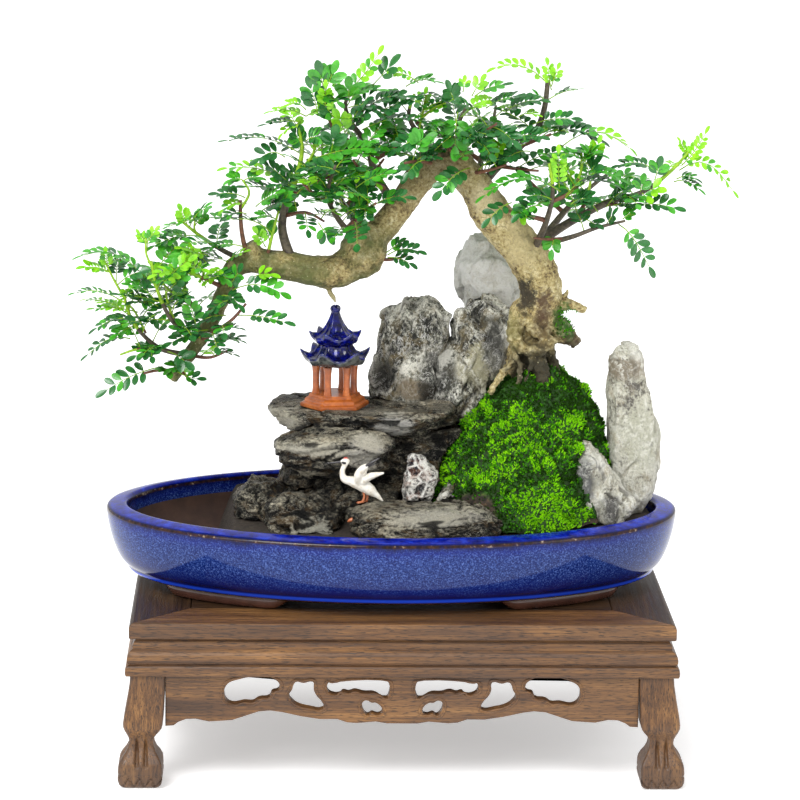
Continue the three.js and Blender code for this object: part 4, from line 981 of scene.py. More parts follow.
# Moss
mossLook = {
    "voxel": 2.3, "cushion": 17.0, "lift": 5.2, "sprigs": 38500, "height": (2.2, 4.8), "tuft": 4.6,
    "seed": 4,
    "wide": 0.42, "leaves": 5, "fresh": 0.50, "green": 0.02,
    # brighter and darker places: middle and reach in mm, and how much
    "places": [((118, -100, 210), (44, 34, 26), 1.1), ((92, -60, 262), (40, 40, 20), 0.35),
        ((78, -20, 292), (30, 34, 18), -1.2), ((159, -20, 258), (14, 34, 32), -0.8),
        ((50, -80, 208), (30, 30, 18), -0.7), ((30, -50, 252), (12, 30, 20), -0.3)],
    "sunk": [((140, -78, 214), (22, 40, 30), 6.0), ((50, -86, 200), (20, 20, 14), 2.0),
        ((108, -20, 288), (38, 34, 22), -8.0)],
    "bare": [((50, -84, 204), (26, 24, 15)), ((150, -70, 186), (24, 26, 8))],
}


def mossFinish(name, dark, light, fresh):
    moss = Finish(name, 0.7, Specular_IOR_Level=0.15)
    colour = moss.ramp(moss.cloud(55, 6, 0.6), [(0.32, dark), (0.52, light), (0.70, fresh)])
    colour = moss.mix(moss.span(moss.cloud(500, 3), 0.4, 0.7, 0.0, 0.5), colour, fresh)
    return moss.finish(colour, moss.bump(moss.cloud(1500, 4), 0.5, 0.0006))


def mossCushion(p):  # 1 on the crown of a cushion, 0 in the crease between two
    q = p / mossLook["cushion"] + noise.noise_vector(p / 21) * 0.5
    near = noise.voronoi(q)[0]
    return smoothstep(0.0, 0.75, near[1] - near[0])


def nearness(where, middle, reach):  # 1 in a place's middle, 0 from its edge on
    return 1 - smoothstep(0.45, 1.15, farness(where, middle, reach))


def scattered(mesh, count, chance):  # even random places on a mesh, each with its normal
    mesh.calc_loop_triangles()
    corners = [(tuple(t.vertices), t.area) for t in mesh.loop_triangles]
    for (a, b, c), _ in chance.choices(corners, weights=[area for _, area in corners], k=count):
        u, v = chance.random(), chance.random()
        if u + v > 1:
            u, v = 1 - u, 1 - v
        pa, pb, pc = (mesh.vertices[i] for i in (a, b, c))
        normal = (pa.normal + pb.normal + pc.normal).normalized()
        yield pa.co + (pb.co - pa.co) * u + (pc.co - pa.co) * v, normal


def addSprig(store, root, up, tall, tone, chance):  # pointed leaves round a stalk
    up = (up + Vector([chance.uniform(-0.25, 0.25) for _ in range(3)])).normalized()
    side = up.orthogonal().normalized()
    across = up.cross(side)
    spin = chance.random() * 2 * math.pi
    wide, leaves = mossLook["wide"] / 1000, mossLook["leaves"]
    points, faces = [], []
    for leaf in range(leaves):
        turn = spin + leaf * 2 * math.pi / leaves
        out = side * math.cos(turn) + across * math.sin(turn)
        flat = up.cross(out)
        base = root + up * tall * (0.12 * leaf)
        tip = base + up * tall * 0.72 + out * tall * (0.55 - 0.09 * leaf)
        n = len(points)
        points += [base + flat * wide, base - flat * wide, tip]
        faces.append((n, n + 1, n + 2))
    store.add(points, faces, tone)


def addMoss():
    made = copyNode("moss_mound", "mossMound")
    remeshed(made, mossLook["voxel"], 0.6, 14)

    def shift(where, normal):
        p = where * 1000
        top = smoothstep(-0.2, 0.5, normal.z)
        rise = mossCushion(p) * mossLook["lift"] + noise.noise(p / 26) * 2.2
        rise += noise.noise(p / 5) * 0.5 - 2.6
        sunk = sum(amount * nearness(where, middle, reach) for middle, reach, amount in mossLook["sunk"])
        return (rise * lerp(0.5, 1, top) - sunk) / 1000

    shapeBy(made, shift)
    ground = Finish("mossBed", 0.9)
    speck = ground.cloud(240, 6, 0.7)
    colour = ground.ramp(speck, [(0.36, (0.010, 0.012, 0.003)), (0.52, (0.012, 0.060, 0.002)),
                                 (0.72, (0.04, 0.17, 0.003))])
    earth = ground.ramp(speck, [(0.38, (0.010, 0.008, 0.005)), (0.55, (0.045, 0.030, 0.018)),
                                (0.75, (0.16, 0.09, 0.04))])
    for middle, reach in mossLook["bare"]:
        colour = ground.mix(ground.span(farFrom(ground, middle, reach), 1.1, 0.8), colour, earth)
    dress(made, ground.finish(colour, ground.bump(ground.cloud(700, 5), 0.8, 0.0012)),
          ["moss_mound"], "moss")

    chance = random.Random(mossLook["seed"])
    store = MeshStore()
    low = min(v.co.z for v in made.data.vertices)
    for root, normal in scattered(made.data, mossLook["sprigs"], chance):
        if normal.z < -0.3 or root.z < low + 0.0015:
            continue
        p = root * 1000
        bare = noise.noise(p / 24 + Vector((5, 5, 5))) + 0.6 * noise.noise(p / 7)
        bare -= 1.6 * max(nearness(root, *place) for place in mossLook["bare"])
        if bare < -0.7 and chance.random() < 0.86:
            continue
        sites = noise.voronoi(p / mossLook["tuft"])[1]
        away = p - sites[0] * mossLook["tuft"]
        away -= normal * away.dot(normal)
        spread = min(away.length / mossLook["tuft"] / 0.6, 1.0)
        crown = mossCushion(p)
        tall = lerp(*mossLook["height"], chance.random()) / 1000 * lerp(1.0, 0.62, spread)
        tall *= lerp(0.7, 1.0, crown)
        up = normal * 0.8 + Vector((0, 0, 0.3)) + away.normalized() * spread * 0.9
        own = math.sin(sites[0].x * 91.7 + sites[0].y * 43.3 + sites[0].z * 67.1)
        # brighter on cushion crowns, upward faces and tuft middles as painted light, darker in creases
        # and at tuft edges as painted shade, over a random tone
        bright = crown * 1.1 + own * 0.5 + noise.noise(p / 30) * 0.9 + chance.uniform(-0.3, 0.3)
        bright += 0.3 * normal.z - 0.7 * spread
        bright += sum(amount * nearness(root, middle, reach)
                      for middle, reach, amount in mossLook["places"])
        tone = 0 if bright > mossLook["fresh"] else 1 if bright > mossLook["green"] else 2
        addSprig(store, root, up, tall, tone, chance)
    # the brightest tone is fresh moss and painted light, the darkest old moss and painted shade
    greens = [mossFinish("freshAndLitMoss", (0.12, 0.42, 0.002), (0.24, 0.66, 0.003), (0.42, 0.86, 0.010)),
              mossFinish("greenMoss", (0.026, 0.17, 0.001), (0.070, 0.34, 0.002), (0.14, 0.52, 0.004)),
              mossFinish("oldAndShadedMoss", (0.006, 0.024, 0.001), (0.015, 0.060, 0.002), (0.035, 0.12, 0.003))]
    dress(store.build("mossSprigs", greens), None, [], "moss", False)
    return greens


mossGreens = addMoss()
print("moss")

# Trunk
# each limb: its middle line, its radii from the first point to the last, and how deeply it is fluted
trunkLimbs = {
    "rise": ([(104, 10, 262), (102, 9, 297), (103, 6, 320), (109, 4, 343), (111, 2, 366), (102, 0, 389),
        (86, 0, 408), (69, 0, 427), (58, 2, 446), (44, 4, 462)],
        [19, 18.5, 16.5, 16.5, 16.5, 16.5, 16.5, 15, 13.5, 12], 0.075),
    "fall": ([(54, 2, 452), (38, 4, 466), (25, 4, 466), (13, 2, 452), (1, 0, 434), (-12, -4, 418),
        (-26, -7, 402)], [12, 13.5, 12.5, 11, 11, 11, 12], 0.07),
    "knee": ([(-24, -7, 417), (-27, -8, 408), (-31, -8.5, 395), (-36, -9, 384), (-40, -9.5, 378)],
        [11, 16, 18.5, 16.5, 8], 0.08),
    "run": ([(-30, -8, 395), (-50, -11, 380), (-70, -12, 380), (-92, -13, 384), (-122, -14, 389)],
        [15, 13.5, 12, 11, 9.5], 0.06),
    "tail": ([(-114, -14, 388), (-130, -15, 384), (-138, -15, 368), (-149, -15, 344), (-161, -15, 322),
        (-172, -15, 306), (-182, -15, 292)], [9, 8.4, 7, 6.2, 5.6, 5, 4], 0.07),
    "rootCurl": ([(97, 0, 352), (91, -9, 340), (91, -15, 326), (101, -19.5, 319), (112, -20, 320),
        (121, -17, 328)], [8, 6.8, 6, 5.6, 5.2, 4.2], 0.10),
    "rootInner": ([(106, -6, 350), (104, -12, 338), (110, -15, 330)], [7, 5.5, 4], 0.1),
    "spur": ([(114, 4, 344), (130, 2, 351), (141, 0, 350), (147, 0, 347)], [7, 5.6, 4.6, 3.4], 0.14),
    "spurTip": ([(122, 3, 348), (131, 3, 359), (133, 3, 364)], [4, 2.6, 1.2], 0.1),
    "barkSlab": ([(110, 6, 340), (126, 5, 331), (141, 3, 320)], [13, 11, 4], 0.14),
    "rootLeft": ([(98, -6, 322), (90, -11, 310), (80, -14, 297), (70, -14, 282)], [4.6, 3.4, 2.8, 2.2],
        0.1),
    "rootWrap": ([(118, -10, 336), (112, -18, 326), (104, -21, 312), (100, -21, 294)],
        [3.4, 2.8, 2.4, 1.8], 0.12),
    "rootThin": ([(92, -11, 330), (90, -15, 316), (95, -18, 304), (93, -20, 290)], [2.6, 2.2, 2.0, 1.5],
        0.12),
    "rootFront": ([(106, -6, 320), (110, -15, 304), (114, -20, 289)], [9, 7.4, 5.4], 0.16),
    "rootRight": ([(114, 2, 320), (121, -4, 305), (127, -10, 291)], [8, 5.4, 3.4], 0.16),
    "rootBack": ([(96, 8, 318), (88, 12, 304), (82, 14, 290)], [8, 6, 4], 0.14),
    "stub": ([(-59, -12, 374), (-57, -12, 364), (-54, -12, 359), (-52.5, -12, 355)], [2.4, 1.9, 1.5, 1.1],
        0.1),
    "cut": ([(-112, -14, 388), (-118, -16, 398), (-121, -17, 403)], [8, 6.4, 5], 0.12),
}
trunkLook = {
    "voxel": 1.15, "tan": (0.44, 0.345, 0.135), "pale": (0.80, 0.72, 0.44), "brown": (0.14, 0.09, 0.033),
    "dark": (0.028, 0.019, 0.010),
    "olive": (0.070, 0.098, 0.018), "moss": ((130, 0, 339), (14, 20, 15)), "mossSprigs": 16000,
    # middle and reach in mm, colour and strength
    "patches": [((112, -14, 340), (8, 16, 26), (0.060, 0.024, 0.012), 0.9),
        ((141, -6, 322), (16, 24, 16), (0.065, 0.034, 0.014), 0.9),
        ((130, -8, 339), (10, 22, 14), (0.026, 0.11, 0.006), 0.95),
        ((98, -12, 362), (8, 14, 16), (0.018, 0.013, 0.007), 0.95),
        ((103, -14, 300), (20, 22, 20), (0.026, 0.018, 0.010), 0.8),
        ((88, -14, 333), (8, 20, 14), (0.11, 0.12, 0.02), 0.6),
        ((66, -10, 440), (14, 20, 12), (0.60, 0.52, 0.32), 0.6),
        ((96, -12, 404), (18, 16, 22), (0.62, 0.52, 0.27), 0.6),
        ((106, -14, 328), (22, 16, 20), (0.17, 0.13, 0.04), 0.5),
        ((-82, -10, 382), (36, 18, 16), (0.13, 0.13, 0.035), 0.6)],
}


def barkFinish():
    look = trunkLook
    bark = Finish("trunkBark", 0.72)
    z = bark.along()
    x = bark.along("X")
    patch = bark.cloud(75, 7, 0.66, 0.4)
    fine = bark.cloud(420, 7, 0.7)
    blend = bark.halves(patch, fine)
    colour = bark.ramp(bark.span(blend, 0.36, 0.64),
                       [(0.0, look["dark"]), (0.22, look["brown"]), (0.5, look["tan"]),
                        (1.0, look["pale"])])
    knob = bark.times(bark.span(x, 0.004, -0.024), bark.span(z, 0.425, 0.405))
    algae = bark.times(knob, bark.span(bark.cloud(42, 5), 0.33, 0.56))
    colour = bark.mix(bark.times(algae, 0.9), colour, look["olive"])
    shade = bark.times(bark.span(z, 0.425, 0.465), bark.span(x, 0.055, 0.030))
    colour = bark.mix(bark.times(shade, 0.55), colour, look["dark"])
    ragged = bark.times(bark.less(bark.cloud(120, 6, 0.75), 0.5), 3.6)
    for middle, reach, tone, strength in look["patches"]:
        near = bark.span(bark.less(farFrom(bark, middle, reach), ragged), 1.25, 0.7, 0.0, strength)
        colour = bark.mix(near, colour, tone)
    edge = bark.edges()
    # painted shade where the bark curves in; paler where it curves out
    colour = bark.mix(bark.span(edge, 0.49, 0.43, 0.0, 0.8), colour, look["dark"])
    colour = bark.mix(bark.span(edge, 0.51, 0.58, 0.0, 0.35), colour, look["pale"])
    foot = bark.span(bark.plus(z, bark.times(ragged, -0.008)), 0.330, 0.310, 0.0, 0.93)
    colour = bark.mix(bark.times(foot, bark.span(x, 0.078, 0.094)), colour, (0.024, 0.021, 0.008))
    wobble = bark.node("TexNoise", {"Vector": bark.objectPlace, "Scale": 190.0,
                                    "Detail": 4.0}).outputs["Color"]
    bent = bark.vector("ADD", bark.objectPlace, bark.vector("MULTIPLY", wobble, (0.006, 0.006, 0.006)))
    split = bark.span(bark.cells(230, "DISTANCE_TO_EDGE", bent), 0.07, 0.0)
    split = bark.times(split, bark.span(patch, 0.46, 0.58))
    colour = bark.mix(bark.times(split, 0.42), colour, look["brown"])
    pits = bark.span(bark.cells(260), 0.16, 0.06)
    pale = bark.span(bark.cells(210), 0.14, 0.05)
    colour = bark.mix(bark.times(pale, 0.5), colour, look["pale"])
    colour = bark.mix(bark.times(pits, 0.6), colour, look["brown"])
    rough = bark.less(fine, bark.times(bark.maths("MAXIMUM", pits, split), 0.3))
    normal = bark.bump(rough, 0.9, 0.0024, bark.bump(bark.cloud(1300, 4), 0.4, 0.0005))
    return bark.finish(colour, normal)


def addTrunk():
    store = MeshStore()
    for index, (line, thick, depth) in enumerate(trunkLimbs.values()):
        points = placedLine(line)
        around = max(16, int(max(thick) * 2.4))
        seed = Vector((index * 3.7, index * 1.9, index * 5.1))

        def flute(share, angle, length, index=index, depth=depth, seed=seed):
            q = Vector((math.cos(angle) * 1.5, math.sin(angle) * 1.5, share * length * 26))
            ridge = noise.noise(q * 1.6 + seed) * 0.6 + noise.noise(q * 3.4 + seed) * 0.4
            knot = noise.noise(Vector((share * length * 42, index, 0)) + seed)
            return 1 + depth * (ridge * 1.5 + knot * 0.7)

        reach = sum((b - a).length for a, b in zip(points, points[1:]))
        tube(store, points, metres(thick), around, max(8, int(reach / 0.0018)), 0, flute)
    made = store.build("treeTrunk", [])
    remeshed(made, trunkLook["voxel"], 0.5, 3)

    def shift(where, normal):
        p = where * 1000
        foot = 1 - smoothstep(305, 366, p.z) if p.x > 40 else 0.0
        deep = noise.ridged_multi_fractal(p / 8, 0.9, 2.1, 3, 1.0, 1.8) - 1.1
        small = noise.noise(p / 3.1) * 0.3 + noise.noise(Vector((p.x / 9, p.y / 9, p.z / 4))) * 0.5
        knots = max(0.0, noise.noise(p / 13 + Vector((2, 8, 4))) - 0.2) * 3.0
        return (small + knots + deep * lerp(0.35, 2.2, foot)) / 1000

    shapeBy(made, shift)
    dress(made, barkFinish(), ["trunk"], "bark")
    growth, chance = MeshStore(), random.Random(8)
    for root, normal in scattered(made.data, trunkLook["mossSprigs"], chance):
        share = nearness(root, *trunkLook["moss"]) * smoothstep(0.116, 0.126, root.x - standMiddle.x)
        if chance.random() < share * smoothstep(-0.3, 0.1, noise.noise(root * 160)):
            tone = 1 if noise.noise(root * 90) + chance.uniform(-0.3, 0.3) > -0.05 else 2
            addSprig(growth, root, normal + Vector((0, 0, 0.4)),
                     chance.uniform(0.0014, 0.0028), tone, chance)
    dress(growth.build("trunkMoss", mossGreens), None, [], "moss", False)


addTrunk()
print("trunk")

# Foliage
leafLook = {
    "tones": {
        "deep": [(0.30, (0.010, 0.085, 0.018)), (0.55, (0.022, 0.150, 0.030)),
            (0.78, (0.055, 0.25, 0.052))],
        "green": [(0.30, (0.024, 0.21, 0.010)), (0.55, (0.052, 0.35, 0.018)),
            (0.78, (0.12, 0.50, 0.034))],
        "fresh": [(0.30, (0.12, 0.43, 0.004)), (0.55, (0.23, 0.64, 0.008)), (0.78, (0.42, 0.80, 0.030))],
    },
    "edge": 4.0, "pairGap": 6.8, "long": 9.0, "wide": 0.56, "fold": 0.13, "rib": 0.46, "youngSize": 0.86,
    "lean": (70, 44), "odd": 0.16,  # the leaflets' angle from first to last, and how many differ in tone
    # what the fronds not seen one by one are drawn from
    "tilts": (0.12, 0.25, 0.4, 0.7), "pairs": (4, 4, 5, 5, 6), "sizes": (0.92, 1.18), "turn": 137.5,
    "sway": 60,
    "outline": [(0.0, 0.06), (0.14, 0.50), (0.36, 0.88), (0.60, 1.0), (0.82, 0.82), (0.94, 0.50),
        (1.0, 0.10)],
}


def leafFinish(name, stops, gloss):
    leaf = Finish(name, gloss, Coat_Weight=0.2, Coat_Roughness=0.12, Specular_IOR_Level=0.45)
    leaf.surface.inputs["Subsurface Weight"].default_value = 0.1
    leaf.surface.inputs["Subsurface Scale"].default_value = 0.002
    colour = leaf.ramp(leaf.cloud(110, 3), stops)
    spot = leaf.span(leaf.cloud(900, 3), 0.35, 0.7, 0.0, 0.25)
    colour = leaf.mix(spot, colour, stops[-1][1])
    return leaf.finish(colour, leaf.bump(leaf.cloud(1400, 3), 0.25, 0.0003))


def twigFinish(name, dark, light):
    twig = Finish(name, 0.6)
    colour = twig.ramp(twig.cloud(300, 5, 0.65), [(0.35, dark), (0.68, light)])
    return twig.finish(colour, twig.bump(twig.cloud(900, 4), 0.6, 0.0006))


deep, green, fresh = 3, 4, 5  # the places of the leaf finishes below
foliageFinishes = [
    twigFinish("oldTwig", (0.035, 0.026, 0.018), (0.13, 0.105, 0.065)),
    twigFinish("redTwig", (0.070, 0.026, 0.015), (0.22, 0.085, 0.045)),
    twigFinish("greenStalk", (0.17, 0.36, 0.008), (0.36, 0.58, 0.020)),
    leafFinish("deepLeaf", leafLook["tones"]["deep"], 0.27),
    leafFinish("greenLeaf", leafLook["tones"]["green"], 0.32),
    leafFinish("freshLeaf", leafLook["tones"]["fresh"], 0.4),
]


def addLeaflet(store, root, ahead, face, long, wide, tone, chance):
    side = face.cross(ahead).normalized()
    lift = ahead.cross(side).normalized()
    curl = chance.uniform(-0.10, 0.16)
    points, faces = [], []
    outline = leafLook["outline"]
    for share, width in outline:
        middle = root + ahead * long * share - lift * (long * curl * share * share)
        half = side * wide * width / 2
        rise = lift * wide * width * leafLook["fold"]
        points += [middle + half + rise, middle, middle - half + rise]
    for s in range(len(outline) - 1):
        a = s * 3
        faces += [(a, a + 1, a + 4, a + 3), (a + 1, a + 2, a + 5, a + 4)]
    store.add(points, faces, tone)


def addFrond(store, root, tip, arch, sky, pairs, tone, chance, size=1.0):
    reach = tip - root
    length = reach.length
    long = leafLook["long"] / 1000 * size * (leafLook["youngSize"] if tone == fresh else 1.0)
    reach *= max(1 - 0.75 * long / length, 0.4)
    side = sky.cross(reach.normalized())
    if side.length < 0.05:
        side = Vector((0, 1, 0))
    side.normalize()
    bend = chance.uniform(-0.07, 0.07) * length
    rise = Vector((0, 0, 1)) * arch

    def along(t):
        return root + reach * t + rise * 4 * t * (1 - t) + side * bend * t * t

    rib = leafLook["rib"] / 1000
    tube(store, [along(t) for t in (0, 0.3, 0.65, 1.0)], [rib * 1.3, rib, rib * 0.6], 3, 6, 2)
    wideShare = leafLook["wide"] * chance.uniform(0.94, 1.1)
    first = 0.16 if pairs > 5 else 0.3 if pairs > 2 else 0.5
    for k in range(pairs):
        t = lerp(first, 0.95, (k + 0.3) / pairs)
        here = along(t)
        tangent = (along(t + 0.03) - here).normalized()
        face = tangent.cross(side).normalized()
        if face.dot(sky) < 0:
            face = -face
        grown = long * (0.74 + 0.30 * math.sin(math.pi * (0.2 + 0.75 * k / pairs)))
        grown *= chance.uniform(0.9, 1.1)
        shade = tone
        if chance.random() < leafLook["odd"]:
            shade = green if tone != green else deep
        for hand in (1, -1):
            out = side * hand
            lean = math.radians(lerp(*leafLook["lean"], t) + chance.uniform(-7, 7))
            aim = tangent * math.cos(lean) + out * math.sin(lean) + face * chance.uniform(-0.04, 0.26)
            top = face + out * chance.uniform(-0.3, 0.15) + tangent * chance.uniform(-0.22, 0.22)
            addLeaflet(store, here + out * rib, aim.normalized(), top.normalized(), grown,
                       grown * wideShare, shade, chance)
    end = along(1.0)
    last = (end - along(0.93)).normalized()
    addLeaflet(store, end, last, last.cross(side), long * 1.05, long * wideShare, tone, chance)


def pickTone(chance, share, young):
    freshShare = young * smoothstep(0.35, 1.0, share)
    roll = chance.random()
    return fresh if roll < freshShare else green if roll < freshShare + 0.34 else deep


# twigs: the line, its first and last thickness, how many fronds grow along it and where it turns green.
# placed: fronds seen in the photograph, by root, tip, arch, pairs of leaflets, tone, size and tilt.
sprays = {}
sprays["tail_tip"] = {"young": 0.0, "twigs": [
    ([(-177, -15, 299), (-192, -22, 301), (-204, -26, 299)], (1.7, 1.0), 1, 1.1),
    ([(-175, -15, 301), (-168, -22, 294), (-162, -26, 291)], (1.5, 0.9), 1, 1.1),
], "placed": [
    ((-189, -22, 304), (-241, -30, 287), 2, 5, deep, 1.2, 1.1),
    ((-180, -22, 302), (-156, -24, 294), -2, 2, deep, 0.9, 0.8),
    ((-188, -28, 320), (-216, -34, 315), 2, 3, deep, 1.0, 0.9),
    ((-185, -26, 317), (-164, -36, 309), 1, 2, deep, 1.2, 1.2),
]}
sprays["tail_outer"] = {"young": 0.85, "twigs": [
    ([(-168, -15, 312), (-192, -26, 320), (-212, -32, 342), (-220, -32, 368)], (2.4, 1.0), 5, 0.55),
    ([(-202, -28, 332), (-212, -31, 352), (-224, -32, 360)], (1.1, 0.7), 2, 0.1),
    ([(-218, -32, 360), (-226, -32, 374), (-234, -32, 390)], (1.1, 0.7), 2, 0.0),
    ([(-190, -25, 319), (-208, -33, 320), (-222, -36, 316)], (1.5, 0.8), 3, 0.6),
], "placed": [
    ((-214, -31, 328), (-252, -38, 314), 6, 6, deep, 0.9, 0.2),
    ((-211, -30, 343), (-245, -40, 336), 4, 7, deep, 0.95, 0.15),
    ((-208, -30, 349), (-247, -26, 351), 2, 6, fresh, 0.9, 0.25),
    ((-222, -31, 359), (-261, -36, 367), 4, 7, green, 0.75, 0.15),
    ((-219, -31, 351), (-254, -24, 358), 3, 6, fresh, 0.8, 0.15),
    ((-202, -32, 377), (-257, -30, 397), 10, 8, green, 1.1, 0.15),
    ((-231, -32, 383), (-234, -32, 400), 0, 4, fresh, 0.75, 1.0),
    ((-231, -32, 386), (-216, -34, 394), 2, 4, green, 0.75, 0.3),
    ((-224, -32, 371), (-201, -36, 384), 2, 3, deep, 1.05, 1.0),
    ((-211, -31, 338), (-228, -42, 331), 1, 4, green, 0.95, 0.4),
]}
sprays["tail_upright"] = {"young": 0.8, "twigs": [
    ([(-160, -15, 324), (-180, -34, 342), (-192, -42, 368), (-197, -42, 392)], (2.4, 1.0), 6, 0.55),
    ([(-195, -42, 384), (-201, -42, 398), (-201, -42, 410)], (1.0, 0.7), 1, 0.0),
    ([(-178, -32, 340), (-184, -36, 356), (-186, -38, 368)], (1.3, 0.8), 3, 0.2),
], "placed": [
    ((-201, -42, 406), (-192, -42, 419), 0, 4, fresh, 0.8, 0.8),
    ((-201, -42, 406), (-207, -40, 416), 0, 3, fresh, 0.7, 0.8),
    ((-192, -38, 367), (-164, -44, 397), 3, 5, fresh, 1.15, 1.0),
    ((-187, -38, 364), (-167, -44, 388), 0, 3, deep, 1.05, 1.0),
    ((-155, -24, 368), (-172, -36, 398), 3, 6, fresh, 0.9, 0.7),
    ((-194, -38, 360), (-217, -44, 376), 3, 5, green, 0.95, 0.3),
    ((-192, -36, 355), (-215, -46, 362), 2, 5, deep, 1.0, 0.3),
    ((-189, -36, 354), (-167, -44, 365), 2, 5, deep, 1.0, 0.3),
]}
sprays["tail_inner"] = {"young": 0.35, "twigs": [
    ([(-160, -15, 324), (-148, -32, 334), (-134, -38, 345), (-123, -38, 358)], (2.2, 1.0), 3, 1.1),
    ([(-168, -15, 312), (-152, -30, 313), (-138, -38, 320)], (1.7, 0.9), 2, 1.1),
], "placed": [
    ((-134, -34, 368), (-89, -40, 369), 5, 5, green, 1.1, 0.9),
    ((-162, -38, 340), (-167, -44, 364), 0, 4, green, 1.0, 1.2),
    ((-123, -30, 373), (-99, -36, 383), 3, 2, fresh, 1.15, 0.6),
    ((-145, -36, 334), (-125, -38, 340), 2, 4, deep, 0.75, 0.15),
    ((-150, -34, 323), (-124, -38, 329), 3, 5, deep, 0.75, 0.1),
    ((-150, -32, 319), (-129, -38, 317), 1, 4, deep, 0.7, 0.15),
    ((-139, -30, 347), (-172, -42, 337), 3, 6, deep, 1.0, 0.35),
    ((-128, -34, 360), (-157, -42, 352), 3, 5, deep, 1.0, 0.35),
    ((-153, -28, 335), (-187, -42, 325), 2, 6, deep, 1.05, 0.5),
    ((-159, -28, 328), (-181, -44, 341), 2, 4, green, 1.1, 0.8),
    ((-142, -36, 364), (-123, -44, 357), 2, 4, deep, 1.0, 0.4),
]}
sprays["tail_back"] = {"young": 0.75, "twigs": [
    ([(-152, -15, 338), (-168, 8, 350), (-174, 24, 370), (-168, 30, 390)], (2.2, 1.0), 11, 0.5),
    ([(-166, 6, 348), (-184, 12, 358), (-196, 18, 372)], (1.4, 0.8), 7, 0.3),
], "placed": []}
sprays["branch_end"] = {"young": 0.7, "twigs": [
    ([(-126, -14, 388), (-146, -12, 398), (-162, -18, 410), (-174, -20, 420)], (2.4, 1.0), 4, 0.5),
    ([(-140, -15, 366), (-160, -30, 378), (-182, -38, 386)], (2.0, 0.9), 5, 0.45),
    ([(-160, -18, 408), (-164, -20, 414), (-163, -20, 424)], (1.0, 0.7), 0, 0.0),
], "placed": [
    ((-126, -24, 422), (-196, -22, 414), 5, 10, green, 0.95, 0.12),
    ((-164, -20, 416), (-154, -20, 430), 0, 4, green, 0.85, 0.6),
    ((-169, -20, 416), (-176, -18, 432), 0, 4, fresh, 0.9, 0.8),
    ((-167, -20, 406), (-194, -22, 411), 2, 6, green, 0.9, 0.25),
    ((-155, -18, 387), (-177, -26, 403), 3, 5, fresh, 0.9, 0.5),
    ((-152, -18, 392), (-175, -28, 395), 2, 4, fresh, 0.95, 0.5),
    ((-126, -24, 401), (-157, -26, 401), 2, 5, deep, 0.95, 0.25),
    ((-137, -18, 387), (-156, -26, 394), 1, 3, deep, 0.95, 0.25),
    ((-137, -26, 369), (-126, -36, 387), 0, 3, deep, 1.1, 1.0),
    ((-138, -24, 384), (-157, -34, 373), 2, 5, fresh, 0.85, 0.5),
    ((-139, -18, 388), (-122, -28, 399), 1, 3, fresh, 0.85, 0.5),
    ((-148, -26, 382), (-134, -36, 375), 1, 4, green, 0.9, 0.6),
]}
sprays["left_shoots"] = {"young": 0.6, "twigs": [
    ([(-122, -14, 388), (-127, -24, 414), (-128, -26, 438)], (2.2, 1.4), 0, 1.1),
    ([(-108, -14, 386), (-103, -24, 410), (-98, -26, 430)], (1.7, 0.9), 2, 0.25),
    ([(-127, -26, 432), (-121, -27, 444), (-126, -28, 454)], (1.2, 0.8), 0, 0.0),
], "placed": [
    ((-124, -26, 440), (-151, -26, 443), 2, 4, deep, 1.0, 0.5),
    ((-126, -28, 454), (-140, -28, 456), 1, 3, green, 1.0, 0.4),
    ((-125, -28, 454), (-110, -26, 458), 1, 3, green, 0.95, 0.4),
    ((-123, -26, 435), (-145, -30, 430), 3, 4, fresh, 0.95, 0.4),
    ((-123, -26, 427), (-143, -32, 426), 2, 3, deep, 0.95, 0.3),
    ((-98, -26, 421), (-119, -34, 428), 3, 5, green, 0.9, 0.3),
    ((-108, -26, 401), (-116, -30, 417), 0, 3, fresh, 0.95, 1.0),
    ((-116, -26, 433), (-96, -34, 448), 1, 5, green, 1.0, 0.6),
    ((-111, -26, 430), (-92, -36, 440), 1, 5, deep, 1.05, 0.5),
    ((-97, -28, 433), (-88, -30, 450), 0, 4, green, 1.0, 0.7),
]}
sprays["middle_left"] = {"young": 0.6, "twigs": [
    ([(-86, -13, 384), (-95, -12, 412), (-92, -12, 434), (-84, -18, 456), (-80, -20, 478),
        (-84, -22, 498)], (4.4, 1.1), 4, 0.45),
    ([(-82, -18, 460), (-71, -22, 475), (-72, -24, 488)], (1.4, 0.9), 1, 0.1),
    ([(-92, -12, 424), (-76, -22, 428), (-62, -28, 422)], (1.8, 0.9), 4, 1.1),
    ([(-90, -13, 440), (-72, -24, 450), (-58, -30, 458)], (1.8, 0.9), 5, 1.1),
], "placed": [
    ((-81, -18, 474), (-144, -16, 485), 7, 10, deep, 1.0, 0.15),
    ((-93, -18, 471), (-120, -24, 472), 4, 3, deep, 1.15, 0.9),
    ((-84, -16, 447), (-144, -24, 463), 7, 8, fresh, 1.15, 0.4),
    ((-77, -22, 504), (-109, -20, 508), 3, 6, fresh, 0.95, 0.2),
    ((-81, -20, 499), (-113, -22, 497), 2, 5, deep, 0.9, 0.15),
    ((-77, -22, 509), (-96, -20, 515), 3, 4, fresh, 0.9, 0.35),
    ((-77, -22, 504), (-61, -26, 507), 2, 4, fresh, 0.85, 0.25),
    ((-81, -20, 495), (-99, -26, 490), 3, 3, fresh, 0.8, 0.3),
    ((-78, -20, 479), (-90, -26, 496), 0, 3, deep, 1.2, 1.1),
    ((-77, -20, 484), (-64, -26, 492), 1, 3, deep, 1.1, 0.9),
    ((-73, -30, 471), (-15, -36, 482), 3, 8, green, 1.2, 0.6),
    ((-69, -28, 458), (-33, -38, 468), 3, 6, deep, 1.15, 0.45),
    ((-83, -18, 444), (-105, -30, 453), 3, 5, deep, 1.05, 0.5),
    ((-81, -18, 455), (-94, -26, 464), 0, 3, deep, 1.1, 0.7),
]}
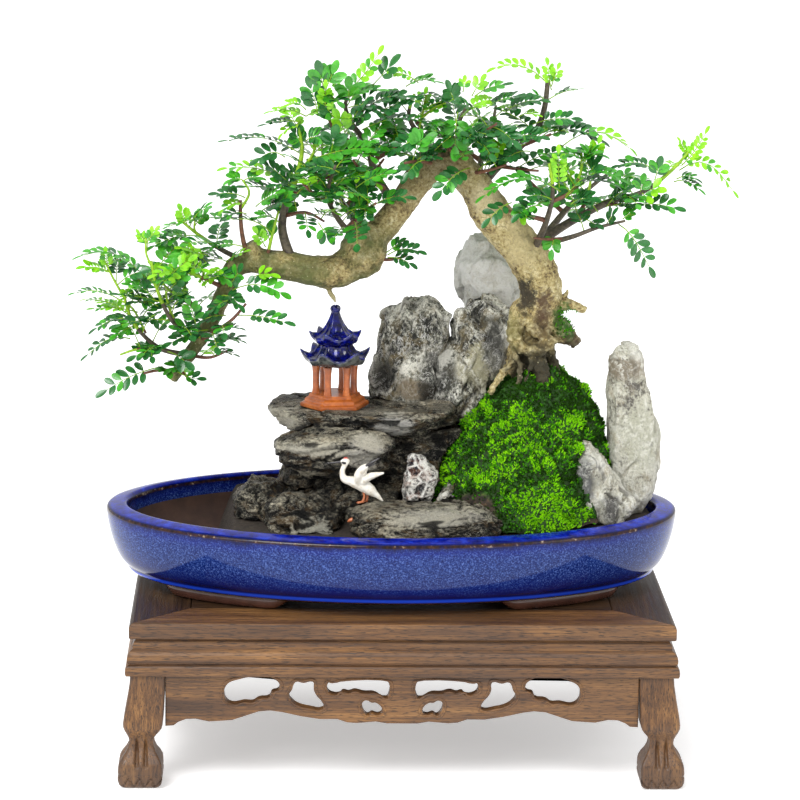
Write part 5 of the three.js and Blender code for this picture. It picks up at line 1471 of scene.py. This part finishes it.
sprays["middle_low"] = {"young": 0.15, "twigs": [
    ([(-36, -10, 404), (-52, -34, 426), (-60, -44, 446), (-54, -52, 470)], (3.0, 1.1), 9, 1.1),
    ([(-44, -24, 416), (-34, -40, 430), (-22, -48, 440)], (2.2, 1.0), 7, 1.1),
    ([(-56, -40, 438), (-70, -46, 446), (-80, -48, 456)], (1.8, 0.9), 5, 1.1),
], "placed": [
    ((-67, -46, 424), (-57, -50, 409), 0, 2, deep, 1.1, 0.8),
    ((-42, -46, 442), (-78, -54, 451), 3, 6, deep, 1.15, 0.5),
    ((-38, -48, 452), (-10, -56, 466), 2, 5, green, 1.15, 0.6),
    ((-25, -44, 437), (6, -52, 446), 3, 6, deep, 1.1, 0.5),
    ((-51, -50, 464), (-82, -56, 468), 3, 6, deep, 1.1, 0.4),
]}
sprays["middle_back"] = {"young": 0.35, "twigs": [
    ([(-30, -6, 406), (-46, 22, 428), (-60, 42, 450), (-64, 50, 474)], (3.0, 1.1), 12, 1.1),
    ([(-44, 20, 426), (-28, 36, 444), (-14, 42, 462)], (2.2, 1.0), 8, 1.1),
], "placed": []}
sprays["middle_top"] = {"young": 0.5, "twigs": [
    ([(-4, -1, 428), (-22, 2, 456), (-28, 0, 478), (-42, -4, 498), (-46, -8, 514), (-36, -8, 528)],
        (4.0, 1.1), 7, 0.85),
    ([(-24, 1, 466), (-8, -12, 478), (2, -14, 488)], (2.2, 1.0), 4, 1.1),
    ([(-27, 0, 476), (-46, -18, 486), (-58, -26, 500), (-60, -28, 518)], (2.3, 1.0), 5, 0.8),
    ([(-14, 1, 444), (-30, -24, 456), (-40, -36, 472)], (2.2, 1.0), 6, 1.1),
], "placed": [
    ((-63, -28, 524), (-67, -30, 546), 0, 2, deep, 1.35, 1.1),
    ((-62, -28, 525), (-54, -30, 546), 0, 2, green, 1.3, 1.1),
    ((-68, -28, 507), (-73, -32, 535), 0, 4, deep, 1.2, 0.9),
    ((-62, -30, 507), (-63, -34, 532), 0, 6, fresh, 0.9, 0.9),
    ((-47, -10, 520), (-16, -12, 555), -2, 5, fresh, 1.15, 0.7),
    ((-43, -10, 514), (-45, -14, 532), 0, 2, green, 1.3, 1.2),
    ((-25, -8, 527), (-5, -10, 548), 0, 2, deep, 1.45, 0.7),
    ((11, -6, 529), (-12, -10, 540), 2, 4, fresh, 0.8, 0.7),
    ((1, -6, 526), (29, -8, 532), 3, 6, green, 1.0, 0.15),
    ((-44, -14, 510), (-8, -18, 502), 5, 6, deep, 1.15, 0.25),
    ((-47, -10, 515), (-15, -14, 527), 3, 7, green, 1.05, 0.25),
    ((-27, -8, 511), (7, -12, 522), 3, 6, deep, 1.15, 0.35),
    ((-46, -24, 490), (-52, -30, 510), 0, 3, fresh, 1.35, 1.1),
    ((-57, -30, 477), (-55, -36, 497), 0, 2, deep, 1.4, 1.1),
    ((-20, -8, 505), (2, -14, 517), 1, 3, deep, 1.3, 0.7),
    ((-33, -16, 493), (29, -20, 499), 7, 10, deep, 1.0, 0.15),
    ((-54, -28, 502), (-68, -34, 518), 1, 4, deep, 1.2, 0.8),
    ((-41, -14, 496), (-26, -22, 511), 1, 4, deep, 1.2, 0.8),
]}
sprays["knob_twig"] = {"young": 0.0, "twigs": [
    ([(-24, -10, 390), (-10, -16, 390), (2, -18, 393)], (1.8, 0.9), 0, 1.1),
], "placed": [
    ((-12, -18, 394), (17, -22, 400), 3, 4, deep, 0.9, 0.6),
    ((-12, -18, 392), (10, -24, 386), 2, 3, deep, 0.9, 0.8),
    ((-13, -18, 396), (1, -20, 406), 0, 2, deep, 0.9, 0.6),
]}
sprays["apex"] = {"young": 0.35, "twigs": [
    ([(24, 4, 464), (14, 2, 484), (4, 0, 502), (8, -4, 520)], (3.0, 1.1), 5, 0.8),
    ([(26, 0, 464), (12, -24, 470), (0, -38, 470)], (2.0, 1.0), 5, 1.1),
    ([(10, 0, 496), (22, -4, 508), (33, -8, 514)], (1.2, 0.8), 0, 0.1),
    ([(12, 1, 490), (15, -3, 506), (17, -6, 519)], (1.2, 0.8), 0, 0.1),
], "placed": [
    ((6, -4, 517), (41, -8, 513), 4, 6, deep, 0.95, 0.15),
    ((13, -2, 501), (15, -6, 525), 0, 4, fresh, 0.85, 0.9),
    ((14, -2, 503), (37, -8, 515), 0, 4, fresh, 0.95, 0.5),
    ((20, -24, 486), (-13, -34, 480), 3, 6, deep, 1.15, 0.5),
    ((16, -26, 471), (-4, -38, 460), 2, 4, deep, 1.2, 0.7),
    ((28, -12, 477), (-2, -24, 493), 2, 6, deep, 1.15, 0.4),
]}
sprays["crown"] = {"young": 0.3, "twigs": [
    ([(52, 3, 452), (46, 0, 476), (42, -8, 494), (50, -14, 514)], (3.6, 1.1), 6, 1.1),
    ([(48, 2, 466), (34, -10, 480), (30, -14, 494)], (2.2, 1.0), 5, 1.1),
    ([(45, -4, 486), (60, -20, 492), (72, -26, 500)], (2.0, 0.9), 4, 1.1),
    ([(50, 2, 456), (66, -18, 462), (80, -28, 468)], (2.0, 0.9), 4, 1.1),
], "placed": [
    ((42, -12, 507), (37, -26, 474), 2, 4, green, 1.35, 1.0),
    ((52, -12, 463), (22, -34, 445), 3, 5, deep, 1.25, 0.8),
    ((53, -8, 519), (61, -8, 536), 0, 2, fresh, 1.0, 0.8),
    ((46, -8, 522), (48, -8, 534), 0, 2, fresh, 0.75, 0.8),
    ((55, -8, 519), (82, -12, 531), 2, 3, deep, 1.15, 0.35),
    ((64, -10, 510), (93, -16, 522), 2, 6, deep, 1.05, 0.35),
    ((38, -12, 496), (18, -20, 499), 2, 4, deep, 1.0, 0.2),
    ((39, -8, 516), (33, -10, 529), 0, 3, deep, 1.15, 0.9),
    ((51, -16, 501), (62, -30, 486), 0, 4, deep, 1.2, 0.9),
    ((70, -18, 496), (88, -32, 483), 2, 4, deep, 1.15, 0.7),
]}
sprays["crown_right"] = {"young": 0.5, "twigs": [
    ([(60, 2, 444), (76, 8, 462), (94, 12, 478), (106, 14, 490), (112, 14, 508), (114, 13, 530)],
        (3.8, 1.9), 3, 1.1),
    ([(74, 7, 460), (78, -12, 474), (76, -18, 488)], (2.2, 1.0), 2, 1.1),
    ([(92, 11, 477), (104, -4, 484), (116, -8, 490)], (2.0, 0.9), 3, 1.1),
    ([(76, 8, 462), (92, -10, 462), (106, -18, 462)], (2.0, 0.9), 3, 1.1),
], "placed": [
    ((115, 12, 526), (67, 8, 542), 8, 6, fresh, 1.1, 0.45),
    ((117, 12, 522), (112, 12, 546), 0, 4, fresh, 0.85, 0.7),
    ((117, 12, 525), (122, 10, 543), 0, 3, fresh, 0.75, 0.7),
    ((102, 4, 496), (139, 0, 501), 2, 5, deep, 1.05, 0.8),
    ((112, 8, 484), (162, 2, 486), 7, 8, deep, 1.3, 0.3),
    ((124, 0, 478), (185, -6, 478), 13, 7, fresh, 1.2, 0.3),
    ((80, -6, 507), (112, -12, 518), 3, 6, deep, 1.1, 0.4),
    ((90, -8, 503), (107, -14, 507), 2, 4, fresh, 0.85, 0.25),
    ((113, 10, 513), (96, 6, 520), 2, 3, green, 0.95, 0.2),
    ((85, -14, 486), (112, -24, 492), 2, 6, deep, 1.1, 0.5),
    ((99, -16, 477), (76, -28, 472), 2, 5, deep, 1.1, 0.6),
]}
sprays["crown_back"] = {"young": 0.45, "twigs": [
    ([(60, 6, 446), (64, 34, 466), (72, 52, 482), (76, 58, 504)], (3.0, 1.1), 8, 1.1),
    ([(64, 30, 462), (46, 44, 474), (36, 52, 488)], (2.2, 1.0), 5, 1.1),
], "placed": []}
sprays["right_upright"] = {"young": 0.6, "twigs": [
    ([(104, -6, 396), (112, -26, 422), (116, -38, 448), (112, -44, 472)], (3.2, 1.1), 2, 0.75),
    ([(112, -26, 424), (94, -36, 430), (80, -42, 434)], (2.2, 1.0), 1, 1.1),
    ([(115, -34, 440), (130, -36, 448), (138, -34, 464), (138, -32, 478)], (1.8, 0.9), 3, 0.6),
], "placed": [
    ((122, -40, 449), (55, -50, 448), 12, 11, green, 1.05, 0.2),
    ((121, -40, 452), (118, -42, 484), 0, 6, fresh, 0.95, 0.9),
    ((126, -38, 445), (173, -46, 463), 11, 9, green, 1.05, 0.2),
    ((126, -38, 444), (169, -36, 457), 8, 8, deep, 1.0, 0.2),
    ((84, -40, 440), (61, -48, 425), 2, 3, deep, 1.15, 0.6),
    ((91, -40, 440), (90, -46, 426), 0, 1, fresh, 1.3, 1.1),
    ((145, -34, 468), (119, -40, 482), 3, 5, green, 1.05, 0.35),
    ((153, -30, 471), (132, -34, 483), 2, 4, green, 1.1, 0.35),
    ((138, -32, 474), (158, -36, 478), 2, 3, green, 0.95, 0.25),
    ((148, -30, 473), (152, -32, 491), 0, 4, fresh, 0.95, 0.8),
    ((144, -34, 462), (153, -38, 475), 0, 2, deep, 1.2, 0.9),
    ((115, -42, 443), (89, -52, 447), 2, 6, deep, 1.1, 0.5),
    ((130, -40, 439), (149, -50, 446), 2, 5, deep, 1.15, 0.6),
    ((106, -42, 438), (84, -52, 431), 2, 5, deep, 1.1, 0.6),
]}
sprays["right_tip"] = {"young": 0.7, "twigs": [
    ([(104, 2, 398), (122, -2, 412), (140, -6, 424), (162, -10, 436), (190, -14, 446), (212, -16, 464),
        (224, -16, 478)], (4.2, 1.0), 3, 0.8),
    ([(136, -5, 421), (146, 8, 434), (150, 14, 450)], (2.2, 1.0), 2, 0.7),
    ([(160, -10, 434), (172, -18, 436), (180, -20, 436)], (1.4, 0.8), 1, 0.7),
], "placed": [
    ((219, -16, 467), (240, -18, 496), -2, 7, fresh, 0.95, 0.6),
    ((223, -16, 475), (216, -14, 488), 0, 4, fresh, 0.7, 0.3),
    ((217, -16, 463), (264, -22, 445), 14, 7, fresh, 1.0, 0.6),
    ((215, -16, 456), (234, -20, 458), 2, 4, deep, 0.95, 0.2),
    ((213, -16, 454), (237, -24, 449), 3, 5, green, 0.95, 0.2),
    ((196, -14, 464), (164, -12, 468), 3, 6, deep, 1.05, 0.4),
    ((198, -16, 455), (202, -20, 472), 0, 2, deep, 1.15, 1.0),
    ((194, -18, 448), (204, -24, 450), 0, 1, fresh, 1.4, 1.1),
    ((188, -18, 445), (195, -26, 441), 0, 1, fresh, 1.4, 1.1),
    ((179, -18, 435), (220, -24, 435), 2, 4, deep, 1.1, 0.8),
    ((182, -14, 442), (169, -16, 455), 2, 4, green, 1.0, 0.4),
    ((187, -16, 446), (188, -14, 458), 0, 3, green, 1.0, 0.6),
    ((160, -16, 433), (178, -26, 452), 2, 5, deep, 1.05, 0.5),
    ((165, -18, 435), (186, -28, 438), 1, 5, deep, 1.05, 0.4),
    ((154, -16, 429), (135, -28, 447), 2, 5, deep, 1.15, 0.7),
]}
sprays["right_low"] = {"young": 0.2, "twigs": [
    ([(112, -8, 402), (134, -24, 411), (152, -30, 419), (174, -32, 425)], (2.6, 1.0), 1, 1.1),
    ([(126, -18, 408), (112, -32, 410), (102, -38, 412)], (1.7, 0.9), 1, 1.1),
], "placed": [
    ((169, -30, 422), (196, -30, 381), 6, 5, deep, 1.1, 1.3),
    ((144, -26, 425), (155, -34, 420), 0, 2, deep, 0.95, 0.5),
    ((160, -28, 422), (166, -34, 434), 0, 3, deep, 1.0, 0.6),
    ((172, -30, 426), (182, -32, 435), 0, 3, green, 0.95, 0.5),
]}
sprays["right_back"] = {"young": 0.8, "twigs": [
    ([(108, 8, 398), (132, 28, 424), (152, 42, 440), (172, 50, 454)], (3.4, 1.1), 5, 1.1),
    ([(130, 27, 422), (112, 44, 436), (98, 52, 450)], (2.2, 1.0), 3, 1.1),
], "placed": []}


def addTwig(store, points, thick, greenFrom):
    steps = 5 * (len(points) - 1)
    sides = 7
    start = len(store.slots)
    line, tangents, _ = tube(store, placedLine(points), metres(thick), sides, steps,
                             0 if thick[0] > 2.3 else 1)
    for ring in range(steps):
        if ring / steps >= greenFrom:
            for k in range(sides):
                store.slots[start + ring * sides + k] = 2
    return line, tangents, steps


def addSpray(name, setup, seed):
    store = MeshStore()
    corners = [Vector(corner) for corner in nodes["spray_" + name].bound_box]
    low, high = (Vector([pick(c[i] for c in corners) for i in range(3)]) for pick in (min, max))
    edge = leafLook["edge"] / 1000
    chance = random.Random(seed)
    for points, thick, count, greenFrom in setup["twigs"]:
        line, tangents, steps = addTwig(store, points, thick, greenFrom)
        for k in range(count):
            share = lerp(0.28, 1.0, (k + 0.5 * chance.random()) / count)
            spot = min(int(share * steps), steps)
            here, tangent = line[spot], tangents[spot]
            around = math.radians(leafLook["turn"] * k + leafLook["sway"] * chance.random())
            side = tangent.orthogonal().normalized()
            out = side * math.cos(around) + tangent.cross(side) * math.sin(around)
            out.z *= 0.4
            ahead = out.normalized() + tangent * chance.uniform(0.1, 0.55)
            ahead += Vector((0, 0, chance.uniform(0.0, 0.3)))
            ahead.z = max(ahead.z, -0.12)
            towards = -1 if here.y < standMiddle.y - standCentreY else 1
            tilt = chance.choice(leafLook["tilts"])
            sky = Vector((chance.uniform(-0.3, 0.3), towards * tilt, 1)).normalized()
            pairs = chance.choice(leafLook["pairs"])
            size = chance.uniform(*leafLook["sizes"])
            tone = pickTone(chance, share, setup["young"])
            length = (leafLook["pairGap"] * pairs + 9) / 1000 * size * (0.9 if tone == fresh else 1)
            drop = Vector((0, 0, 1)) * length * chance.uniform(0.02, 0.16)
            tip = here + ahead.normalized() * length - drop
            tip = Vector([max(low[i] + edge, min(high[i] - edge, tip[i])) for i in range(3)])
            addFrond(store, here, tip, length * chance.uniform(0.03, 0.10), sky, pairs,
                     tone, chance, size)
    for root, tip, arch, pairs, tone, size, tilt in setup["placed"]:
        sky = Vector((chance.uniform(-0.12, 0.12), -tilt, 1)).normalized()
        addFrond(store, at(*root), at(*tip), arch / 1000, sky, pairs, tone, chance, size)
    dress(store.build("spray_" + name + "_leaves", foliageFinishes), None, ["spray_" + name], "foliage")


for seed, (name, setup) in enumerate(sprays.items()):
    addSpray(name, setup, 100 + seed)
print("foliage")

# Pavilion
pavilionShape = {
    "x": -52.5, "y": -12, "z": 271.3, "turn": 8,
    "base": [(27.2, 0), (28, 0.6), (28, 2.8), (27.3, 3.5), (25.0, 4.3), (24.6, 4.9), (24.5, 6.4),
        (23.9, 7.0), (21.4, 8.3), (20.9, 8.9), (20.7, 10.0), (20.1, 10.6)],
    "post": [(3.6, 9.6), (3.3, 10.6), (3.0, 12.4), (2.7, 15), (2.65, 22), (2.8, 28), (3.2, 31.5),
        (3.6, 33.6)], "ring": 15.2,
    # corner radius, middle radius, corner height, middle height
    "roof": [(16.5, 16.2, 33.9, 33.9), (20.0, 19.5, 34.6, 34.0), (24.6, 23.2, 38.0, 35.0),
        (27.4, 25.0, 43.4, 37.4), (28.0, 25.7, 45.4, 39.2), (27.6, 25.3, 46.6, 40.4),
        (25.0, 23.0, 44.8, 40.4), (20.2, 19.0, 42.8, 41.0), (16.8, 16.2, 44.2, 43.6),
        (14.4, 13.8, 47.8, 47.4), (13.4, 12.8, 50.2, 50.0), (16.0, 15.2, 51.8, 50.8),
        (19.4, 18.2, 55.6, 52.4), (20.9, 19.4, 59.2, 54.8), (20.8, 19.4, 60.8, 56.4),
        (18.2, 17.0, 59.4, 56.8), (13.8, 13.2, 59.2, 58.4), (10.2, 10.0, 61.6, 61.0),
        (7.4, 7.2, 65.4, 65.0), (5.2, 5.0, 69.6, 69.4), (3.5, 3.5, 74.2, 74.2), (3.1, 3.1, 75.6, 75.6),
        (3.9, 3.9, 76.8, 76.8), (4.1, 4.1, 78.2, 78.2), (3.4, 3.4, 79.8, 79.8), (1.9, 1.9, 80.8, 80.8),
        (0.5, 0.5, 81.1, 81.1)],
}


def pavilionPoint(radius, angle, z):
    shape = pavilionShape
    turned = angle + math.radians(shape["turn"])
    return at(shape["x"] + radius * math.cos(turned),
              shape["y"] + radius * math.sin(turned), shape["z"] + z)


def addPavilion():
    shape = pavilionShape
    base = MeshStore()
    rings = []
    for radius, z in shape["base"]:
        ring = []
        for k in range(48):
            angle = 2 * math.pi * k / 48
            inSide = (angle + math.pi / 6) % (math.pi / 3) - math.pi / 6
            offCorner = math.pi / 6 - abs(inSide)
            toFlat = math.cos(math.pi / 6) / math.cos(offCorner) if abs(inSide) > 0.02 else 0.985
            ring.append(pavilionPoint(radius * toFlat, angle, z))
        rings.append(ring)
    loftRings(base, rings)
    for corner in range(6):
        angle = corner * math.pi / 3
        rings = []
        for thick, z in shape["post"]:
            middle = pavilionPoint(shape["ring"], angle, z)
            turns = [2 * math.pi * k / 14 for k in range(14)]
            rings.append([middle + Vector((math.cos(t), math.sin(t), 0)) * thick / 1000
                          * (1 + 0.05 * math.sin(3 * t + corner)) for t in turns])
        loftRings(base, rings)
    clay = Finish("terracotta", 0.32, Coat_Weight=0.35, Coat_Roughness=0.2)
    height = clay.along()
    colour = clay.ramp(clay.cloud(160, 5, 0.6), [(0.3, (0.20, 0.040, 0.005)),
                                                 (0.55, (0.38, 0.090, 0.010)),
                                                 (0.75, (0.56, 0.17, 0.03))])
    # painted shade: darker at the tops of the posts, under the roof
    colour = clay.mix(clay.span(height, 0.3035, 0.3060, 0.0, 0.6), colour, (0.10, 0.03, 0.012))
    made = eased(base.build("pavilionBase", []), 50)
    dress(made, clay.finish(colour, clay.bump(clay.cloud(500, 4), 0.4, 0.0006)), ["pavilion_base"],
          "terracotta", False)
    for polygon in made.data.polygons:
        polygon.use_smooth = polygon.center.z * 1000 > shape["z"] + 10.8

    roof = MeshStore()
    rings = []
    count = 72
    for corner, middle, cornerZ, middleZ in shape["roof"]:
        ring = []
        for k in range(count):
            angle = 2 * math.pi * k / count
            share = (0.5 + 0.5 * math.cos(6 * angle))
            sharp = share ** 2.0
            offFlat = (angle + math.pi / 6) % (math.pi / 3) - math.pi / 6
            flat = middle * math.cos(math.pi / 6) / math.cos(offFlat)
            rib = 0.55 * share ** 14
            radius = lerp(flat, corner, sharp) if corner > 8 else lerp(middle, corner, share)
            ring.append(pavilionPoint(radius + rib * 0.4, angle, lerp(middleZ, cornerZ, sharp) + rib))
        rings.append(ring)
    loftRings(roof, rings)
    glaze = Finish("roofGlaze", 0.07, Coat_Weight=0.25, Coat_Roughness=0.04, Specular_IOR_Level=0.35)
    z = glaze.along()
    patch = glaze.cloud(210, 5, 0.6)
    colour = glaze.ramp(patch, [(0.34, (0.001, 0.001, 0.014)), (0.52, (0.001, 0.002, 0.075)),
                                (0.74, (0.003, 0.010, 0.32))])
    under = glaze.span(glaze.upward(), 0.05, -0.25)
    bare = glaze.ramp(glaze.cloud(150, 4), [(0.40, (0.010, 0.014, 0.020)), (0.72, (0.16, 0.17, 0.15))])
    low = glaze.span(z, 0.3185, 0.3160)
    colour = glaze.mix(glaze.times(under, low), colour, bare)
    edge = glaze.edges()
    colour = glaze.mix(glaze.span(edge, 0.55, 0.65, 0.0, 0.3), colour, (0.18, 0.22, 0.40))
    dress(roof.build("pavilionRoof", []), glaze.finish(colour, glaze.bump(patch, 0.2, 0.001)),
          ["pavilion_roof"], "roof_glaze")


addPavilion()
print("pavilion")

# Crane
# line and radii of each part in mm
craneParts = {
    "body": ([(-44.5, -78, 226), (-40, -78, 224.6), (-33, -78, 222.6), (-26, -78, 218.6),
        (-18.5, -78, 212)], [2.0, 4.6, 5.3, 4.4, 1.1]),
    "neck": ([(-39, -78, 225), (-45, -78, 226.5), (-47, -78, 231.5), (-45.8, -78, 236.5),
        (-43.8, -78, 240)], [4.0, 3.3, 2.3, 2.0, 2.2]),
    "head": ([(-41.4, -78, 240.4), (-43.6, -78, 241.1), (-46.3, -78, 240.7), (-48.4, -78, 240.2)],
        [1.1, 2.4, 2.2, 1.1]),
    "nearWing": ([(-34, -80, 224), (-34.5, -83.5, 231), (-30.5, -86, 237.5), (-24, -87, 241)],
        [3.4, 3.5, 2.8, 0.8]),
    "nearWingLow": ([(-31, -81, 225), (-25, -84.5, 230.5), (-14.5, -86, 233.5)], [3.3, 2.8, 0.8]),
    "farWing": ([(-31, -75, 224), (-30, -72, 231), (-26, -70, 236)], [3.0, 2.8, 0.8]),
    "tail": ([(-26, -78, 219), (-19, -78, 213), (-15, -78, 208.8)], [3.6, 2.4, 0.8]),
}
craneTrim = {
    "beak": ([(-47.6, -78, 240.4), (-53, -78, 239.8), (-60, -78, 239.0)], [1.1, 0.8, 0.35], "black"),
    "eyePatch": ([(-44.4, -79.8, 239.6), (-46.2, -80.1, 240.1), (-47.4, -79.4, 240.3)], [0.9, 1.1, 0.6],
        "black"),
    "nearTip": ([(-29, -87.2, 239.0), (-24, -88.0, 242.4), (-18, -88.2, 246)], [1.2, 1.1, 0.4], "black"),
    "nearTipLow": ([(-31, -86.2, 236.2), (-26, -87.4, 239.4), (-21, -87.8, 241.6)], [1.0, 0.9, 0.4],
        "black"),
    "crest": ([(-42.6, -78, 242.6), (-44.4, -78, 243.2), (-46, -78, 242.7)], [0.7, 1.0, 0.6], "red"),
}
craneFeet = {"leg": (1.2, 0.9, 1.1), "toe": (0.8, 0.4), "long": 4.6, "spread": (-35, 0, 35)}
fallenPetal = ([(-42.6, -92, 195.6), (-40.6, -92, 196.8), (-38, -92, 197.4), (-35.8, -92, 196.6)],
               (0.7, 1.7, 1.8, 0.6))
craneVoxel = 0.6
craneLegs = [[(-31, -79.5, 219), (-29.6, -79.5, 213), (-31, -79.5, 208)],
             [(-28, -76.5, 219), (-27, -76.5, 213), (-28, -76.5, 208)]]


def glazedFinish(name, stops, rough):
    glazed = Finish(name, rough, Coat_Weight=0.4, Coat_Roughness=0.15)
    colour = glazed.ramp(glazed.cloud(280, 4, 0.6), stops)
    return glazed.finish(colour, glazed.bump(glazed.cloud(600, 3), 0.25, 0.0005))


def addCrane():
    body = MeshStore()
    for line, thick in craneParts.values():
        tube(body, placedLine(line), metres(thick), 16, 18)
    made = body.build("craneBody", [])
    remeshed(made, craneVoxel, 0.5, 2)
    white = glazedFinish("whiteGlaze", [(0.3, (0.60, 0.52, 0.40)), (0.5, (0.83, 0.79, 0.70)),
                                        (0.75, (0.90, 0.88, 0.82))], 0.3)
    dress(made, white, ["crane_body"], "crane_glaze")
    black = glazedFinish("blackGlaze", [(0.3, (0.008, 0.007, 0.008)), (0.7, (0.035, 0.03, 0.035))], 0.25)
    red = glazedFinish("redGlaze", [(0.3, (0.45, 0.02, 0.01)), (0.7, (0.62, 0.05, 0.02))], 0.3)
    orange = glazedFinish("orangeGlaze", [(0.3, (0.36, 0.09, 0.03)), (0.7, (0.58, 0.20, 0.08))], 0.35)
    trim = MeshStore()
    for line, thick, tone in craneTrim.values():
        tube(trim, placedLine(line), metres(thick), 10, 10, 0 if tone == "black" else 1)
    dress(trim.build("craneTrim", [black, red]), None, [], "crane_glaze")
    legs = MeshStore()
    for line in craneLegs:
        tube(legs, placedLine(line), metres(craneFeet["leg"]), 10, 10)
        foot = line[-1]
        for spread in craneFeet["spread"]:
            turn = math.radians(180 + spread)
            tip = (foot[0] + craneFeet["long"] * math.cos(turn),
                   foot[1] + craneFeet["long"] * math.sin(turn), 208.0)
            tube(legs, placedLine([(foot[0], foot[1], 208.6), tip]), metres(craneFeet["toe"]), 6, 3)
    dress(legs.build("craneLegs", []), orange, ["crane_legs"], "crane_leg_glaze")
    chip = MeshStore()
    tube(chip, placedLine(fallenPetal[0]), metres(fallenPetal[1]), 10, 10)
    dress(chip.build("fallenPetal", [orange]), None, [], "crane_leg_glaze")


addCrane()
print("crane")
